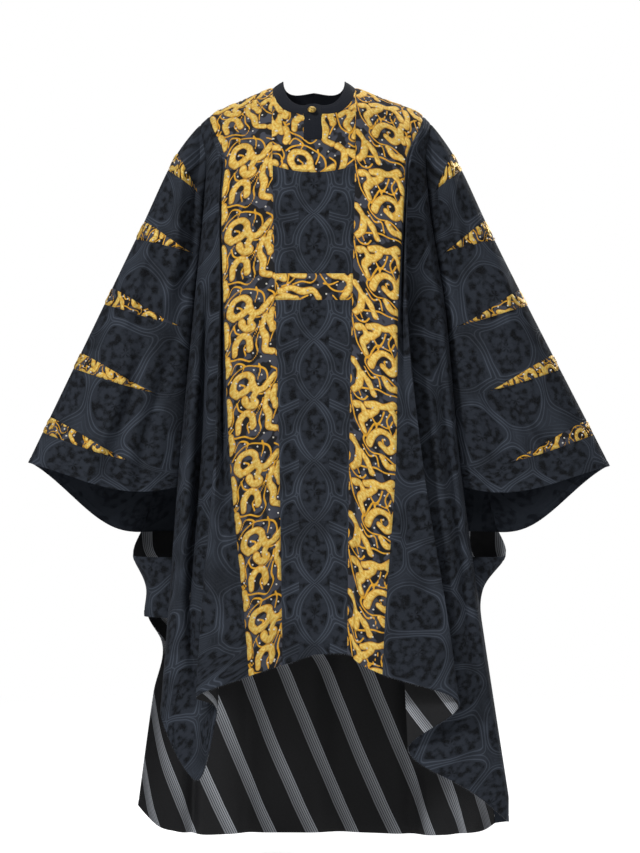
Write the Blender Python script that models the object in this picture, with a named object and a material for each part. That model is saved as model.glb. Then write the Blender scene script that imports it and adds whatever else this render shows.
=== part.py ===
"""A grand boubou robe as it hangs on a wearer whose arms are held a little out from the sides.

Metres, +Z up, front towards -Y. The origin lies between the shoulders at the base of the neck, where the
wearer holds the robe up. Every cut piece is a thin closed wall of its own. All of them are blocks of a few
lofted sheets (front, back and two sleeves), so that neighbours share their seam points, and each piece is
then drawn back from its own edge by half a seam gap.
"""

from collections import namedtuple

import bpy
import numpy as np

# ---------------------------------------------------------------- driving sizes

CLOTH = 0.0016  # wall of the brocade
LINING = 0.0010  # wall of the lining
GAP = 0.0003  # space left at each seam, and between layers
WELD = 1e-5  # points nearer than this are one point
LEAST_FACING = 0.4  # limits the mitre at a sharp fold
LEAST_CORNER = 0.008  # and how far a pointed corner draws back
SHARP_ANGLE = 50.0  # degrees: edges more bent than this are shaded sharp

NECK_HALF_WIDTH = 0.085  # of the neck seam, at the shoulders
NECK_DROP = {"front": 0.44, "back": 0.20}  # how far round the shoulder arch the neck seam lies, 0 to 1
NECKBAND_TOP = 0.064  # half width of the open upper edge
NECKBAND_RISE = {"front": 0.0175, "side": 0.015, "back": 0.022}
NECK_INSET = 0.015  # how far the band leans in towards the neck

PLACKET_LEFT, PLACKET_RIGHT = -0.021, 0.017

BUTTON_RADIUS = 0.0085
BUTTON_RISE = 0.0035
BUTTON_RIM = 0.0012
BUTTON_SHANK = 0.0022
BUTTON_SIDES = 20
BUTTON_DOME = (30.0, 60.0)  # degrees up the dome at which it has rings
BUTTON_HEIGHT = -0.0460
BUTTON_SIDE = -0.004

YOKE_FOOT = -0.160  # lower edge of the gold yoke, and foot of the shoulder arch
YOKE_DIP = 0.015  # how much lower that edge is in the middle of the front
CROSSBAR_TOP = -0.381
CROSSBAR_FOOT = -0.434
SLEEVE_FOOT = -0.815  # front sleeve hem, where it meets the side gore
BACK_SLEEVE_FOOT = -0.912
WRAP_TOP, WRAP_FOOT = -0.960, -1.085

# Heights of the rows that every sheet shares below the shoulder arch. The last rows are shares of the way
# from there to the hem.
LINING_TOP = -1.030
LEVELS = (YOKE_FOOT, -0.222, -0.280, -0.337, CROSSBAR_TOP, CROSSBAR_FOOT, -0.490, -0.634, -0.775, SLEEVE_FOOT,
          BACK_SLEEVE_FOOT, WRAP_TOP, LINING_TOP, WRAP_FOOT)
HEM_STEPS = (0.14, 0.40, 0.60, 0.80, 1.0)
ARCH_STEPS = (0.0, 0.24, 0.46, 0.67, 1.0)  # rows over the shoulder arch; the placket ends on the fourth
ARCH_ROWS = len(ARCH_STEPS) - 1
PLACKET_ROW = 3
SLEEVE_ROW = ARCH_ROWS + LEVELS.index(SLEEVE_FOOT)
BACK_SLEEVE_ROW = ARCH_ROWS + LEVELS.index(BACK_SLEEVE_FOOT)
LINING_ROW = ARCH_ROWS + LEVELS.index(LINING_TOP)
WRAP_START = ARCH_ROWS + LEVELS.index(WRAP_TOP)
WRAP_END = {"left": ARCH_ROWS + LEVELS.index(WRAP_FOOT), "right": ARCH_ROWS + len(LEVELS) - 1 + len(HEM_STEPS)}

# ---------------------------------------------------------------- tables

# Rails are the cut lines and fold lines that run from shoulder to hem, counted out from the centre.
# SPREAD is the cloth between them at the hem.
RAILS = ("centre", "yoke", "band", "fold", "gutter", "crest", "outer", "turn")
SPREAD = (0.0, NECK_HALF_WIDTH, 0.190, 0.235, 0.300, 0.370, 0.425, 0.470)
S_YOKE, S_BAND, S_TURN = SPREAD[1], SPREAD[2], SPREAD[7]

Section = namedtuple("Section", ("height",) + RAILS)
Wedge = namedtuple("Wedge", "upper lower tip row")
Fold = namedtuple("Fold", "across top foot depth width")

# Distance out from the middle, one row for each height.
FRONT_REACH = {
    "left": (
        Section(0.030, 0.0, 0.085, 0.216, 0.220, 0.224, 0.228, 0.232, 0.236),
        Section(-0.055, 0.0, 0.085, 0.214, 0.218, 0.222, 0.227, 0.231, 0.236),
        Section(-0.143, 0.0, 0.084, 0.181, 0.192, 0.190, 0.202, 0.212, 0.222),
        Section(-0.214, 0.0, 0.083, 0.186, 0.192, 0.184, 0.201, 0.214, 0.226),
        Section(-0.421, 0.0, 0.078, 0.183, 0.190, 0.168, 0.204, 0.234, 0.246),
        Section(-0.785, 0.0, 0.069, 0.167, 0.203, 0.168, 0.226, 0.268, 0.280),
        Section(-1.085, 0.0, 0.064, 0.138, 0.224, 0.188, 0.252, 0.292, 0.302),
        Section(-1.450, 0.0, 0.058, 0.112, 0.242, 0.204, 0.238, 0.322, 0.330),
    ),
    "right": (
        Section(0.030, 0.0, 0.085, 0.226, 0.230, 0.233, 0.236, 0.239, 0.242),
        Section(-0.055, 0.0, 0.085, 0.224, 0.228, 0.231, 0.235, 0.238, 0.242),
        Section(-0.143, 0.0, 0.084, 0.188, 0.198, 0.198, 0.210, 0.220, 0.230),
        Section(-0.214, 0.0, 0.083, 0.184, 0.191, 0.186, 0.206, 0.222, 0.236),
        Section(-0.421, 0.0, 0.078, 0.172, 0.188, 0.166, 0.222, 0.256, 0.268),
        Section(-0.785, 0.0, 0.071, 0.164, 0.222, 0.172, 0.252, 0.292, 0.304),
        Section(-1.085, 0.0, 0.068, 0.142, 0.268, 0.180, 0.286, 0.334, 0.346),
        Section(-1.450, 0.0, 0.064, 0.128, 0.312, 0.196, 0.322, 0.392, 0.402),
    ),
}
# Distance forward of the shoulder line.
FRONT_DEPTH = {
    "left": (
        Section(0.030, 0.112, 0.104, 0.070, 0.068, 0.066, 0.064, 0.062, 0.058),
        Section(-0.055, 0.122, 0.114, 0.080, 0.078, 0.074, 0.070, 0.064, 0.058),
        Section(-0.143, 0.132, 0.127, 0.108, 0.104, 0.094, 0.084, 0.072, 0.052),
        Section(-0.214, 0.137, 0.133, 0.121, 0.113, 0.097, 0.082, 0.068, 0.042),
        Section(-0.421, 0.142, 0.142, 0.135, 0.122, 0.102, 0.084, 0.064, 0.034),
        Section(-0.785, 0.160, 0.163, 0.158, 0.138, 0.114, 0.094, 0.068, 0.032),
        Section(-1.085, 0.176, 0.180, 0.178, 0.152, 0.122, 0.104, 0.078, 0.034),
        Section(-1.450, 0.190, 0.196, 0.196, 0.166, 0.134, 0.116, 0.090, 0.040),
    ),
    "right": (
        Section(0.030, 0.112, 0.104, 0.070, 0.068, 0.066, 0.064, 0.062, 0.058),
        Section(-0.055, 0.122, 0.114, 0.080, 0.078, 0.074, 0.070, 0.064, 0.058),
        Section(-0.143, 0.132, 0.127, 0.108, 0.104, 0.094, 0.084, 0.074, 0.052),
        Section(-0.214, 0.137, 0.133, 0.121, 0.113, 0.097, 0.082, 0.072, 0.042),
        Section(-0.421, 0.142, 0.142, 0.137, 0.122, 0.102, 0.084, 0.072, 0.034),
        Section(-0.785, 0.160, 0.163, 0.160, 0.138, 0.114, 0.094, 0.078, 0.032),
        Section(-1.085, 0.176, 0.180, 0.178, 0.152, 0.122, 0.104, 0.084, 0.028),
        Section(-1.450, 0.190, 0.196, 0.196, 0.166, 0.134, 0.116, 0.090, 0.020),
    ),
}
FRONT_HEM = {
    "left": (-1.147, -1.168, -1.190, -1.230, -1.268, -1.408, -1.292, -1.270),
    "right": (-1.147, -1.146, -1.186, -1.240, -1.342, -1.432, -1.492, -1.508),
}
BACK_REACH = {
    "left": (
        Section(0.030, 0.0, 0.085, 0.216, 0.220, 0.224, 0.228, 0.232, 0.236),
        Section(-0.055, 0.0, 0.085, 0.214, 0.218, 0.222, 0.227, 0.231, 0.236),
        Section(-0.214, 0.0, 0.088, 0.186, 0.206, 0.222, 0.236, 0.250, 0.262),
        Section(-0.555, 0.0, 0.092, 0.184, 0.212, 0.238, 0.262, 0.286, 0.310),
        Section(-0.895, 0.0, 0.094, 0.182, 0.218, 0.252, 0.288, 0.324, 0.358),
        Section(-0.960, 0.0, 0.094, 0.182, 0.218, 0.254, 0.292, 0.334, 0.380),
        Section(-1.030, 0.0, 0.094, 0.182, 0.216, 0.250, 0.284, 0.316, 0.343),
        Section(-1.085, 0.0, 0.094, 0.182, 0.216, 0.248, 0.280, 0.314, 0.350),
        Section(-1.140, 0.0, 0.095, 0.183, 0.216, 0.246, 0.274, 0.300, 0.322),
        Section(-1.250, 0.0, 0.096, 0.186, 0.220, 0.252, 0.283, 0.312, 0.339),
        Section(-1.500, 0.0, 0.098, 0.192, 0.228, 0.262, 0.298, 0.334, 0.373),
    ),
    "right": (
        Section(0.030, 0.0, 0.085, 0.226, 0.230, 0.233, 0.236, 0.239, 0.242),
        Section(-0.055, 0.0, 0.085, 0.224, 0.228, 0.231, 0.235, 0.238, 0.242),
        Section(-0.214, 0.0, 0.088, 0.190, 0.210, 0.226, 0.242, 0.256, 0.270),
        Section(-0.555, 0.0, 0.092, 0.188, 0.216, 0.244, 0.272, 0.298, 0.324),
        Section(-0.895, 0.0, 0.094, 0.186, 0.222, 0.258, 0.298, 0.340, 0.382),
        Section(-0.960, 0.0, 0.094, 0.186, 0.222, 0.260, 0.302, 0.350, 0.401),
        Section(-1.030, 0.0, 0.094, 0.186, 0.220, 0.254, 0.288, 0.318, 0.338),
        Section(-1.085, 0.0, 0.094, 0.186, 0.220, 0.254, 0.286, 0.308, 0.316),
        Section(-1.180, 0.0, 0.095, 0.188, 0.222, 0.256, 0.290, 0.318, 0.330),
        Section(-1.320, 0.0, 0.096, 0.190, 0.226, 0.262, 0.300, 0.336, 0.354),
        Section(-1.500, 0.0, 0.098, 0.192, 0.230, 0.270, 0.312, 0.354, 0.376),
    ),
}
BACK_DEPTH = {
    "left": (
        Section(0.030, 0.104, 0.098, 0.070, 0.068, 0.066, 0.064, 0.062, 0.058),
        Section(-0.055, 0.116, 0.110, 0.084, 0.082, 0.080, 0.078, 0.074, 0.070),
        Section(-0.214, 0.136, 0.134, 0.122, 0.118, 0.114, 0.110, 0.106, 0.100),
        Section(-0.555, 0.138, 0.142, 0.134, 0.128, 0.120, 0.114, 0.106, 0.096),
        Section(-0.895, 0.148, 0.154, 0.148, 0.140, 0.128, 0.114, 0.096, 0.070),
        Section(-0.960, 0.150, 0.156, 0.150, 0.142, 0.130, 0.114, 0.090, 0.046),
        Section(-1.030, 0.152, 0.158, 0.152, 0.144, 0.132, 0.116, 0.094, 0.066),
        Section(-1.085, 0.154, 0.160, 0.154, 0.146, 0.134, 0.118, 0.092, 0.052),
        Section(-1.180, 0.158, 0.164, 0.158, 0.150, 0.138, 0.122, 0.102, 0.078),
        Section(-1.320, 0.162, 0.168, 0.162, 0.154, 0.142, 0.126, 0.104, 0.074),
        Section(-1.500, 0.166, 0.172, 0.168, 0.160, 0.148, 0.130, 0.106, 0.072),
    ),
    "right": (
        Section(0.030, 0.104, 0.098, 0.070, 0.068, 0.066, 0.064, 0.062, 0.058),
        Section(-0.055, 0.116, 0.110, 0.084, 0.082, 0.080, 0.078, 0.074, 0.070),
        Section(-0.214, 0.136, 0.134, 0.122, 0.118, 0.114, 0.110, 0.106, 0.100),
        Section(-0.555, 0.138, 0.142, 0.134, 0.128, 0.120, 0.114, 0.106, 0.096),
        Section(-0.895, 0.148, 0.154, 0.148, 0.140, 0.128, 0.114, 0.096, 0.066),
        Section(-0.960, 0.150, 0.156, 0.150, 0.142, 0.130, 0.114, 0.086, 0.034),
        Section(-1.030, 0.152, 0.158, 0.152, 0.144, 0.130, 0.108, 0.070, 0.018),
        Section(-1.085, 0.154, 0.160, 0.154, 0.144, 0.128, 0.100, 0.056, 0.006),
        Section(-1.180, 0.158, 0.164, 0.158, 0.148, 0.130, 0.098, 0.052, 0.004),
        Section(-1.320, 0.162, 0.168, 0.162, 0.150, 0.130, 0.096, 0.050, 0.004),
        Section(-1.500, 0.166, 0.172, 0.168, 0.154, 0.132, 0.096, 0.048, 0.004),
    ),
}
BACK_HEM = {
    "left": (-1.562, -1.563, -1.566, -1.566, -1.562, -1.553, -1.536, -1.488),
    "right": (-1.562, -1.563, -1.566, -1.566, -1.562, -1.554, -1.538, -1.515),
}
# Soft ridges down the back: place across and width in SPREAD's own measure, heights, rise.
BACK_FOLDS = (
    Fold(-0.300, -0.25, -1.60, 0.020, 0.030),
    Fold(-0.130, -0.55, -1.60, 0.014, 0.026),
    Fold(0.045, -0.35, -1.60, 0.016, 0.030),
    Fold(0.215, -0.20, -1.60, 0.020, 0.028),
    Fold(0.360, -0.60, -1.60, 0.014, 0.028),
)
FRONT_FOLDS = (
    Fold(-0.165, -0.60, -1.30, 0.008, 0.020),
    Fold(0.205, -0.50, -1.30, 0.008, 0.020),
)
FOLD_FADE = 0.7  # power by which a fold grows below its top

# The shoulder and overarm line: distance out and height.
RIDGE = {
    "left": ((0.0, 0.025), (0.085, 0.012), (0.150, -0.014), (0.225, -0.054), (0.283, -0.123),
             (0.360, -0.282), (0.593, -0.765)),
    "right": ((0.0, 0.025), (0.085, 0.012), (0.150, -0.013), (0.232, -0.052), (0.287, -0.123),
              (0.365, -0.284), (0.614, -0.772)),
}
CORNER = {side: line[-1][0] for side, line in RIDGE.items()}  # the sleeve's lowest outer point
SHOULDER_END = {side: line[3][0] for side, line in RIDGE.items()}

# Gold wedges let into each sleeve: where they meet the overarm line, how far in the tip lies, and the row
# that the line on from the tip runs to.
WEDGES = {
    "left": (
        Wedge(0.283, 0.303, 0.93, ARCH_ROWS + 1),
        Wedge(0.352, 0.370, 0.93, ARCH_ROWS + 3),
        Wedge(0.418, 0.435, 0.93, ARCH_ROWS + 6),
        Wedge(0.483, 0.499, 0.74, ARCH_ROWS + 7),
        Wedge(0.547, 0.563, 0.63, ARCH_ROWS + 8),
    ),
    "right": (
        Wedge(0.287, 0.307, 0.80, ARCH_ROWS + 1),
        Wedge(0.355, 0.375, 0.91, ARCH_ROWS + 3),
        Wedge(0.426, 0.443, 0.91, ARCH_ROWS + 6),
        Wedge(0.495, 0.511, 0.66, ARCH_ROWS + 7),
        Wedge(0.565, 0.581, 0.66, ARCH_ROWS + 8),
    ),
}
SLEEVE_START = 0.004  # how far past the gore the sleeve's own edge begins on the shoulder line
SLEEVE_ACROSS = {
    "left": (0.0, 0.04, 0.13, 0.28, 0.45, 0.63, 0.74, 0.84, 0.93, 1.0),
    "right": (0.0, 0.04, 0.13, 0.28, 0.47, 0.66, 0.80, 0.91, 1.0),
}
BACK_SLEEVE_ACROSS = (0.0, 0.05, 0.15, 0.32, 0.52, 0.76, 1.0)
SLEEVE_BULGE = {"front": 0.062, "back": 0.058}
SLEEVE_TAIL = {"front": 1.0, "back": 1.5}  # over 1 runs smoothly into the inner seam, under 1 folds there
SLEEVE_FULL = 0.16  # a sleeve this wide bulges all the way
SLEEVE_SAG = {"front": 0.024, "back": 0.030}  # how far the hem hangs below a straight line

NECK_COLUMNS = (0.924, 0.707)  # shares of the way from the middle to the yoke's edge
MIDDLE_COLUMN = 0.40
BAND_STEPS = 2
SIDE_STEPS = 2  # between each rail and the next, from the band out to the turn
WRAP_STEPS = 3
WRAP_BULGE = 0.25  # share of the way it spans

# Base colour, roughness and metallic of each finish.
FINISHES = {
    "jacquard": ((0.030, 0.034, 0.044), 0.85, 0.0),
    "gold_brocade": ((0.560, 0.350, 0.085), 0.60, 0.0),
    "plain_trim": ((0.012, 0.014, 0.024), 0.80, 0.0),
    "lining": ((0.020, 0.020, 0.024), 0.70, 0.0),
    "brass": ((0.720, 0.520, 0.180), 0.35, 0.9),
}

# ---------------------------------------------------------------- curves and sheets


def smooth(at, knots, values):
    """Cubic curve through values at rising knots, with the mean slope at each knot."""
    knots, values = np.asarray(knots, float), np.asarray(values, float)
    at = np.clip(at, knots[0], knots[-1])
    step = np.diff(knots)
    rise = np.diff(values) / step
    slope = np.concatenate((rise[:1], (step[1:] * rise[:-1] + step[:-1] * rise[1:]) / (step[1:] + step[:-1]),
                            rise[-1:]))
    left = np.clip(np.searchsorted(knots, at, side="right") - 1, 0, len(knots) - 2)
    width = step[left]
    t = (at - knots[left]) / width
    return ((1 + 2 * t) * (1 - t) ** 2 * values[left] + t * (1 - t) ** 2 * width * slope[left]
            + t ** 2 * (3 - 2 * t) * values[left + 1] + t ** 2 * (t - 1) * width * slope[left + 1])


def ridge_height(side, out):
    """Height of the shoulder and overarm line at a distance out from the middle."""
    line = np.array(RIDGE[side])
    return smooth(out, line[:, 0], line[:, 1])


def rail_values(sections, heights):
    """What each rail's column of a table says at the given heights: one row for each height."""
    table = np.array(sections)[::-1]
    return np.stack([smooth(heights, table[:, 0], table[:, 1 + k]) for k in range(len(RAILS))], axis=-1)


def across(sections, spread, heights):
    """A table read at each point's own place across the cloth and height."""
    by_rail = rail_values(sections, heights)
    result = np.empty_like(heights)
    for place in np.ndindex(heights.shape):
        result[place] = smooth(spread[place], SPREAD, by_rail[place])
    return result


def soft_folds(folds, signed, heights):
    """Sum of rounded ridges, each fading in below its top."""
    total = np.zeros_like(heights)
    for fold in folds:
        fade = np.clip((fold.top - heights) / (fold.top - fold.foot), 0, 1) ** FOLD_FADE
        total += fold.depth * fade * np.exp(-((signed - fold.across) / fold.width) ** 2)
    return total


def body_sheet(face, columns):
    """Points of the front or back sheet, rows from neck or shoulder to hem, one column for each place across.

    Each column starts on the neck seam or the shoulder line, rounds over the shoulder as a quarter ellipse
    down to YOKE_FOOT, then hangs by the tables of reach and depth.
    """
    reach, depth, hem = ((FRONT_REACH, FRONT_DEPTH, FRONT_HEM) if face == "front"
                         else (BACK_REACH, BACK_DEPTH, BACK_HEM))
    forward = -1.0 if face == "front" else 1.0
    folds = FRONT_FOLDS if face == "front" else BACK_FOLDS
    sheet = np.empty((ARCH_ROWS + len(LEVELS) + len(HEM_STEPS), len(columns), 3))
    for index, signed in enumerate(columns):
        side = "left" if signed < 0 else "right"
        spread = abs(signed)
        top_out = smooth(spread, SPREAD, reach[side][0][1:])
        crown = ridge_height(side, top_out)
        into_neck = max(0.0, 1 - (spread / S_YOKE) ** 4)
        start = np.arccos(1 - NECK_DROP[face] * np.sqrt(into_neck))
        angle = start + (np.pi / 2 - start) * np.array(ARCH_STEPS)
        foot = YOKE_FOOT - (YOKE_DIP * max(0.0, 1 - (spread / S_YOKE) ** 2) if face == "front" else 0.0)
        arch = crown - (crown - foot) * (1 - np.cos(angle))
        last = smooth(spread, SPREAD, hem[side])
        run = LEVELS[-1] + (last - LEVELS[-1]) * np.array(HEM_STEPS)
        height = np.concatenate((arch, LEVELS[1:], run))
        bend = np.concatenate((np.sin(angle), np.ones(len(height) - len(angle))))
        here = np.full_like(height, spread)
        out = across(reach[side], here, height)
        out[:len(angle)] += (top_out - out[0]) * np.cos(angle)  # front and back agree on the shoulder line
        deep = across(depth[side], here, height) + soft_folds(folds, np.full_like(height, signed), height)
        sheet[:, index, 0] = (-1 if side == "left" else 1) * out
        sheet[:, index, 1] = forward * bend * deep
        sheet[:, index, 2] = height
    return sheet


def sleeve_point(side, face, out, inner, part):
    """A point of a sleeve: part of the way from the overarm line to the inner seam, and bulging between."""
    sign = -1 if side == "left" else 1
    edge = np.array((sign * out, 0.0, ridge_height(side, out)))
    wide = min(1.0, np.linalg.norm(edge - inner) / SLEEVE_FULL)
    tail = SLEEVE_TAIL[face]
    peak = 0.5 / (0.5 + tail)
    arch = np.sqrt(part / peak) * ((1 - part) / (1 - peak)) ** tail
    first, last = SHOULDER_END[side], CORNER[side]
    towards_hem = np.clip((out - first) / (last - first), 0, 1)
    sag = SLEEVE_SAG[face] * towards_hem ** 3 * np.sin(np.pi * part ** 1.5)
    forward = -1.0 if face == "front" else 1.0
    point = (1 - part) * edge + part * inner
    point[1] += forward * SLEEVE_BULGE[face] * wide * arch
    point[2] -= sag
    return point


def wedge_line(wedge, start, part):
    """Distance out along a wedge's edge, which runs from start to the tip's own line."""
    middle = 0.5 * (wedge.upper + wedge.lower)
    return start + (middle - start) * min(part / wedge.tip, 1.0)


def sleeve_strip(side, rail, from_edge, to_edge, from_row, to_row, parts):
    """Grid of sleeve points between two lines, each a function of the part of the way in."""
    count = max(1, to_row - from_row)
    grid = np.empty((count + 1, len(parts), 3))
    for row in range(count + 1):
        share = row / count
        inner = rail[min(from_row + row, to_row)]
        for column, part in enumerate(parts):
            out = from_edge(part) + (to_edge(part) - from_edge(part)) * share
            grid[row, column] = sleeve_point(side, "front", out, inner, part)
    return grid


# ---------------------------------------------------------------- meshes


class Piece:
    """An open surface in a maker's cut, not yet thick: welded points and outward triangles."""

    def __init__(self, name, finish, grids, flip=False):
        self.name, self.finish = name, finish
        self.points, self.triangles = [], []
        self.known = {}
        for grid in grids:
            self.add(grid, flip)

    def index(self, point):
        key = tuple(np.round(point / WELD).astype(int))
        if key not in self.known:
            self.known[key] = len(self.points)
            self.points.append(np.array(point, float))
        return self.known[key]

    def add(self, grid, flip):
        rows, columns = grid.shape[:2]
        for row in range(rows - 1):
            for column in range(columns - 1):
                a, b = self.index(grid[row, column]), self.index(grid[row, column + 1])
                c, d = self.index(grid[row + 1, column + 1]), self.index(grid[row + 1, column])
                for corner in ((a, d, c), (a, c, b)):
                    if len(set(corner)) == 3:
                        self.triangles.append(corner[::-1] if flip else corner)

    def keys(self):
        order = [None] * len(self.points)
        for key, index in self.known.items():
            order[index] = key
        return order


def face_normals(points, triangles):
    """Area-weighted normals, one for each triangle."""
    corners = points[triangles]
    return np.cross(corners[:, 1] - corners[:, 0], corners[:, 2] - corners[:, 0])


def shared_leans(pieces):
    """Which way the wall grows at each place, and how far for a wall one metre thick.

    Normals are gathered over all pieces, so that neighbours lean the same way at a seam, and the length makes
    up for a fold, as a mitre does.
    """
    found = {}
    for piece in pieces:
        normals = face_normals(np.array(piece.points), np.array(piece.triangles))
        keys = piece.keys()
        for corner, normal in zip(piece.triangles, normals):
            for index in corner:
                found.setdefault(keys[index], []).append(normal)
    leans = {}
    for key, normals in found.items():
        normals = np.array(normals)
        if key[1] == 0:
            normals[:, 1] = 0.0  # on the shoulder and overarm line, front and back lean alike
        lengths = np.linalg.norm(normals, axis=1)
        lean = (normals / lengths[:, None]).mean(axis=0)
        lean /= np.linalg.norm(lean)
        facing = (normals @ lean / lengths).mean()
        leans[key] = lean / max(facing, LEAST_FACING)
    return leans


def boundary_loop_edges(triangles):
    """Edges with one triangle, in that triangle's own direction."""
    seen = {}
    for corner in triangles:
        for start, end in zip(corner, corner[1:] + corner[:1]):
            seen[(start, end)] = corner
    return [edge for edge in seen if (edge[1], edge[0]) not in seen]


def drawn_back(points, normals, triangles, inset):
    """Points with the outline moved into the surface by inset."""
    inward = {}
    for start, end in boundary_loop_edges(triangles):
        along = points[end] - points[start]
        side = np.cross(normals[start] + normals[end], along)
        side /= np.linalg.norm(side)
        inward.setdefault(start, []).append(side)
        inward.setdefault(end, []).append(side)
    moved = points.copy()
    for index, sides in inward.items():
        total = np.sum(sides, axis=0)
        sharp = max(LEAST_CORNER, total @ total / len(sides) ** 2)
        moved[index] += inset * total / len(sides) / sharp
    return moved


def wall(name, finish, points, normals, triangles, thickness):
    """A closed wall of even thickness about an open surface, as a mesh object."""
    outer, inner = points + normals * thickness / 2, points - normals * thickness / 2
    count = len(points)
    faces = [tuple(corner) for corner in triangles]
    faces += [tuple(index + count for index in corner[::-1]) for corner in triangles]
    for start, end in boundary_loop_edges(triangles):
        faces += [(end, start, start + count), (end, start + count, end + count)]
    return mesh_object(name, finish, np.vstack((outer, inner)), faces)


def mesh_object(name, finish, points, faces):
    mesh = bpy.data.meshes.new(name)
    mesh.from_pydata([tuple(point) for point in points], [], faces)
    mesh.materials.append(finish_material(name, finish))
    mesh.shade_smooth()
    mesh.set_sharp_from_angle(angle=np.radians(SHARP_ANGLE))
    mesh.update()
    result = bpy.data.objects.new(name, mesh)
    bpy.context.scene.collection.objects.link(result)
    return result


def finish_material(name, finish):
    colour, roughness, metallic = FINISHES[finish]
    material = bpy.data.materials.new(f"{name}_{finish}")
    material.use_nodes = True
    shader = material.node_tree.nodes["Principled BSDF"]
    shader.inputs["Base Color"].default_value = (*colour, 1.0)
    shader.inputs["Roughness"].default_value = roughness
    shader.inputs["Metallic"].default_value = metallic
    return material


def sew(piece, leans, thickness=CLOTH, inset=GAP / 2, lift=0.0):
    """Makes a piece's closed wall, lifted off the sheet's middle where it lies on another piece."""
    points = np.array(piece.points)
    normals = np.array([leans[key] for key in piece.keys()])
    points = drawn_back(points, normals, piece.triangles, inset) + normals * lift
    return wall(piece.name, piece.finish, points, normals, piece.triangles, thickness)


# ---------------------------------------------------------------- the robe's sheets


def front_columns():
    """Places across the front: round the neck, the placket's edges, the bands and the side folds."""
    neck = [S_YOKE * place for place in (1.0,) + NECK_COLUMNS + (MIDDLE_COLUMN,)]
    middle = [-place for place in neck] + [PLACKET_LEFT, PLACKET_RIGHT] + neck[::-1]
    band = list(np.linspace(S_YOKE, S_BAND, BAND_STEPS + 1)[1:])
    side = []
    for start, end in zip(SPREAD[2:], SPREAD[3:]):
        side += list(np.linspace(start, end, SIDE_STEPS + 1)[1:])
    half = band + side
    return np.array([-place for place in half[::-1]] + middle + half)


def back_columns():
    """Places across the back, which match the front's along the neck and shoulders."""
    front = front_columns()
    body = [place for place in front if abs(place) <= S_BAND + WELD]
    side = list(SPREAD[3:])
    return np.array([-place for place in side[::-1]] + body + side)


def between(columns, low, high):
    """Indices of the columns from low to high, both kept."""
    return np.nonzero((columns > low - WELD) & (columns < high + WELD))[0]


def thinned(columns, low, high):
    """The same without the neck's own columns, for pieces that don't reach the neck."""
    close = (np.abs(columns) < S_YOKE - WELD) & ~np.isclose(np.abs(columns), S_YOKE * MIDDLE_COLUMN)
    return np.array([index for index in between(columns, low, high) if not close[index]])


def body_pieces(front, back, columns, back_places):
    """Cut pieces of the front and back sheets."""
    bar_top, bar_foot = ARCH_ROWS + LEVELS.index(CROSSBAR_TOP), ARCH_ROWS + LEVELS.index(CROSSBAR_FOOT)
    centre = between(columns, -S_YOKE, S_YOKE)
    pieces = [
        Piece("yoke_front", "gold_brocade", [front[:ARCH_ROWS + 1, centre]]),
        Piece("centre_upper", "jacquard", [front[ARCH_ROWS:bar_top + 1, centre]]),
        Piece("crossbar", "gold_brocade", [front[bar_top:bar_foot + 1, centre]]),
        Piece("centre_lower", "jacquard", [front[bar_foot:, thinned(columns, -S_YOKE, S_YOKE)]]),
        Piece("yoke_back", "gold_brocade",
              [back[:ARCH_ROWS + 1, between(back_places, -S_BAND, S_BAND)]], flip=True),
        Piece("back_centre", "jacquard",
              [back[ARCH_ROWS:, thinned(back_places, -S_BAND, S_BAND)]], flip=True),
    ]
    for side, low, high in (("left", -S_TURN, -S_BAND), ("right", S_BAND, S_TURN)):
        inner = (-S_BAND, -S_YOKE) if side == "left" else (S_YOKE, S_BAND)
        pieces += [
            Piece(f"band_{side}", "gold_brocade", [front[:, between(columns, *inner)]]),
            Piece(f"gore_front_{side}", "jacquard", [front[:, between(columns, low, high)]]),
            Piece(f"gore_back_{side}", "jacquard", [back[:, between(back_places, low, high)]], flip=True),
        ]
    return pieces


def sleeve_pieces(side, rail, back_rail):
    """The notched front of a sleeve, its wedges, and its plain back."""
    parts = SLEEVE_ACROSS[side]
    start_out = abs(rail[0][0]) + SLEEVE_START
    flip = side == "right"
    lines = [(lambda part: start_out, 0)]
    wedges = WEDGES[side]
    for wedge in wedges:
        lines.append((lambda part, w=wedge: wedge_line(w, w.upper, part), wedge.row))
        lines.append((lambda part, w=wedge: wedge_line(w, w.lower, part), wedge.row))
    lines.append((lambda part: CORNER[side], SLEEVE_ROW))
    strips = [sleeve_strip(side, rail, lines[k][0], lines[k + 1][0], lines[k][1], lines[k + 1][1], parts)
              for k in range(0, len(lines), 2)]
    pieces = [Piece(f"sleeve_front_{side}", "jacquard", strips, flip=flip)]
    for number, wedge in enumerate(wedges, start=1):
        reach = [part for part in parts if part <= wedge.tip + WELD]
        grid = np.array([[sleeve_point(side, "front", wedge_line(wedge, edge, part), rail[wedge.row], part)
                          for part in reach] for edge in (wedge.upper, wedge.lower)])
        pieces.append(Piece(f"wedge_{side}_{number}", "gold_brocade", [grid], flip=flip))
    first = np.linspace(start_out, wedges[0].upper, wedges[0].row + 1)
    rest = np.linspace(wedges[0].upper, CORNER[side], BACK_SLEEVE_ROW - wedges[0].row + 1)
    outs = np.concatenate((first, rest[1:]))
    grid = np.array([[sleeve_point(side, "back", out, back_rail[row], part) for part in BACK_SLEEVE_ACROSS]
                     for row, out in enumerate(outs)])
    pieces.append(Piece(f"sleeve_back_{side}", "jacquard", [grid], flip=not flip))
    return pieces


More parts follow.
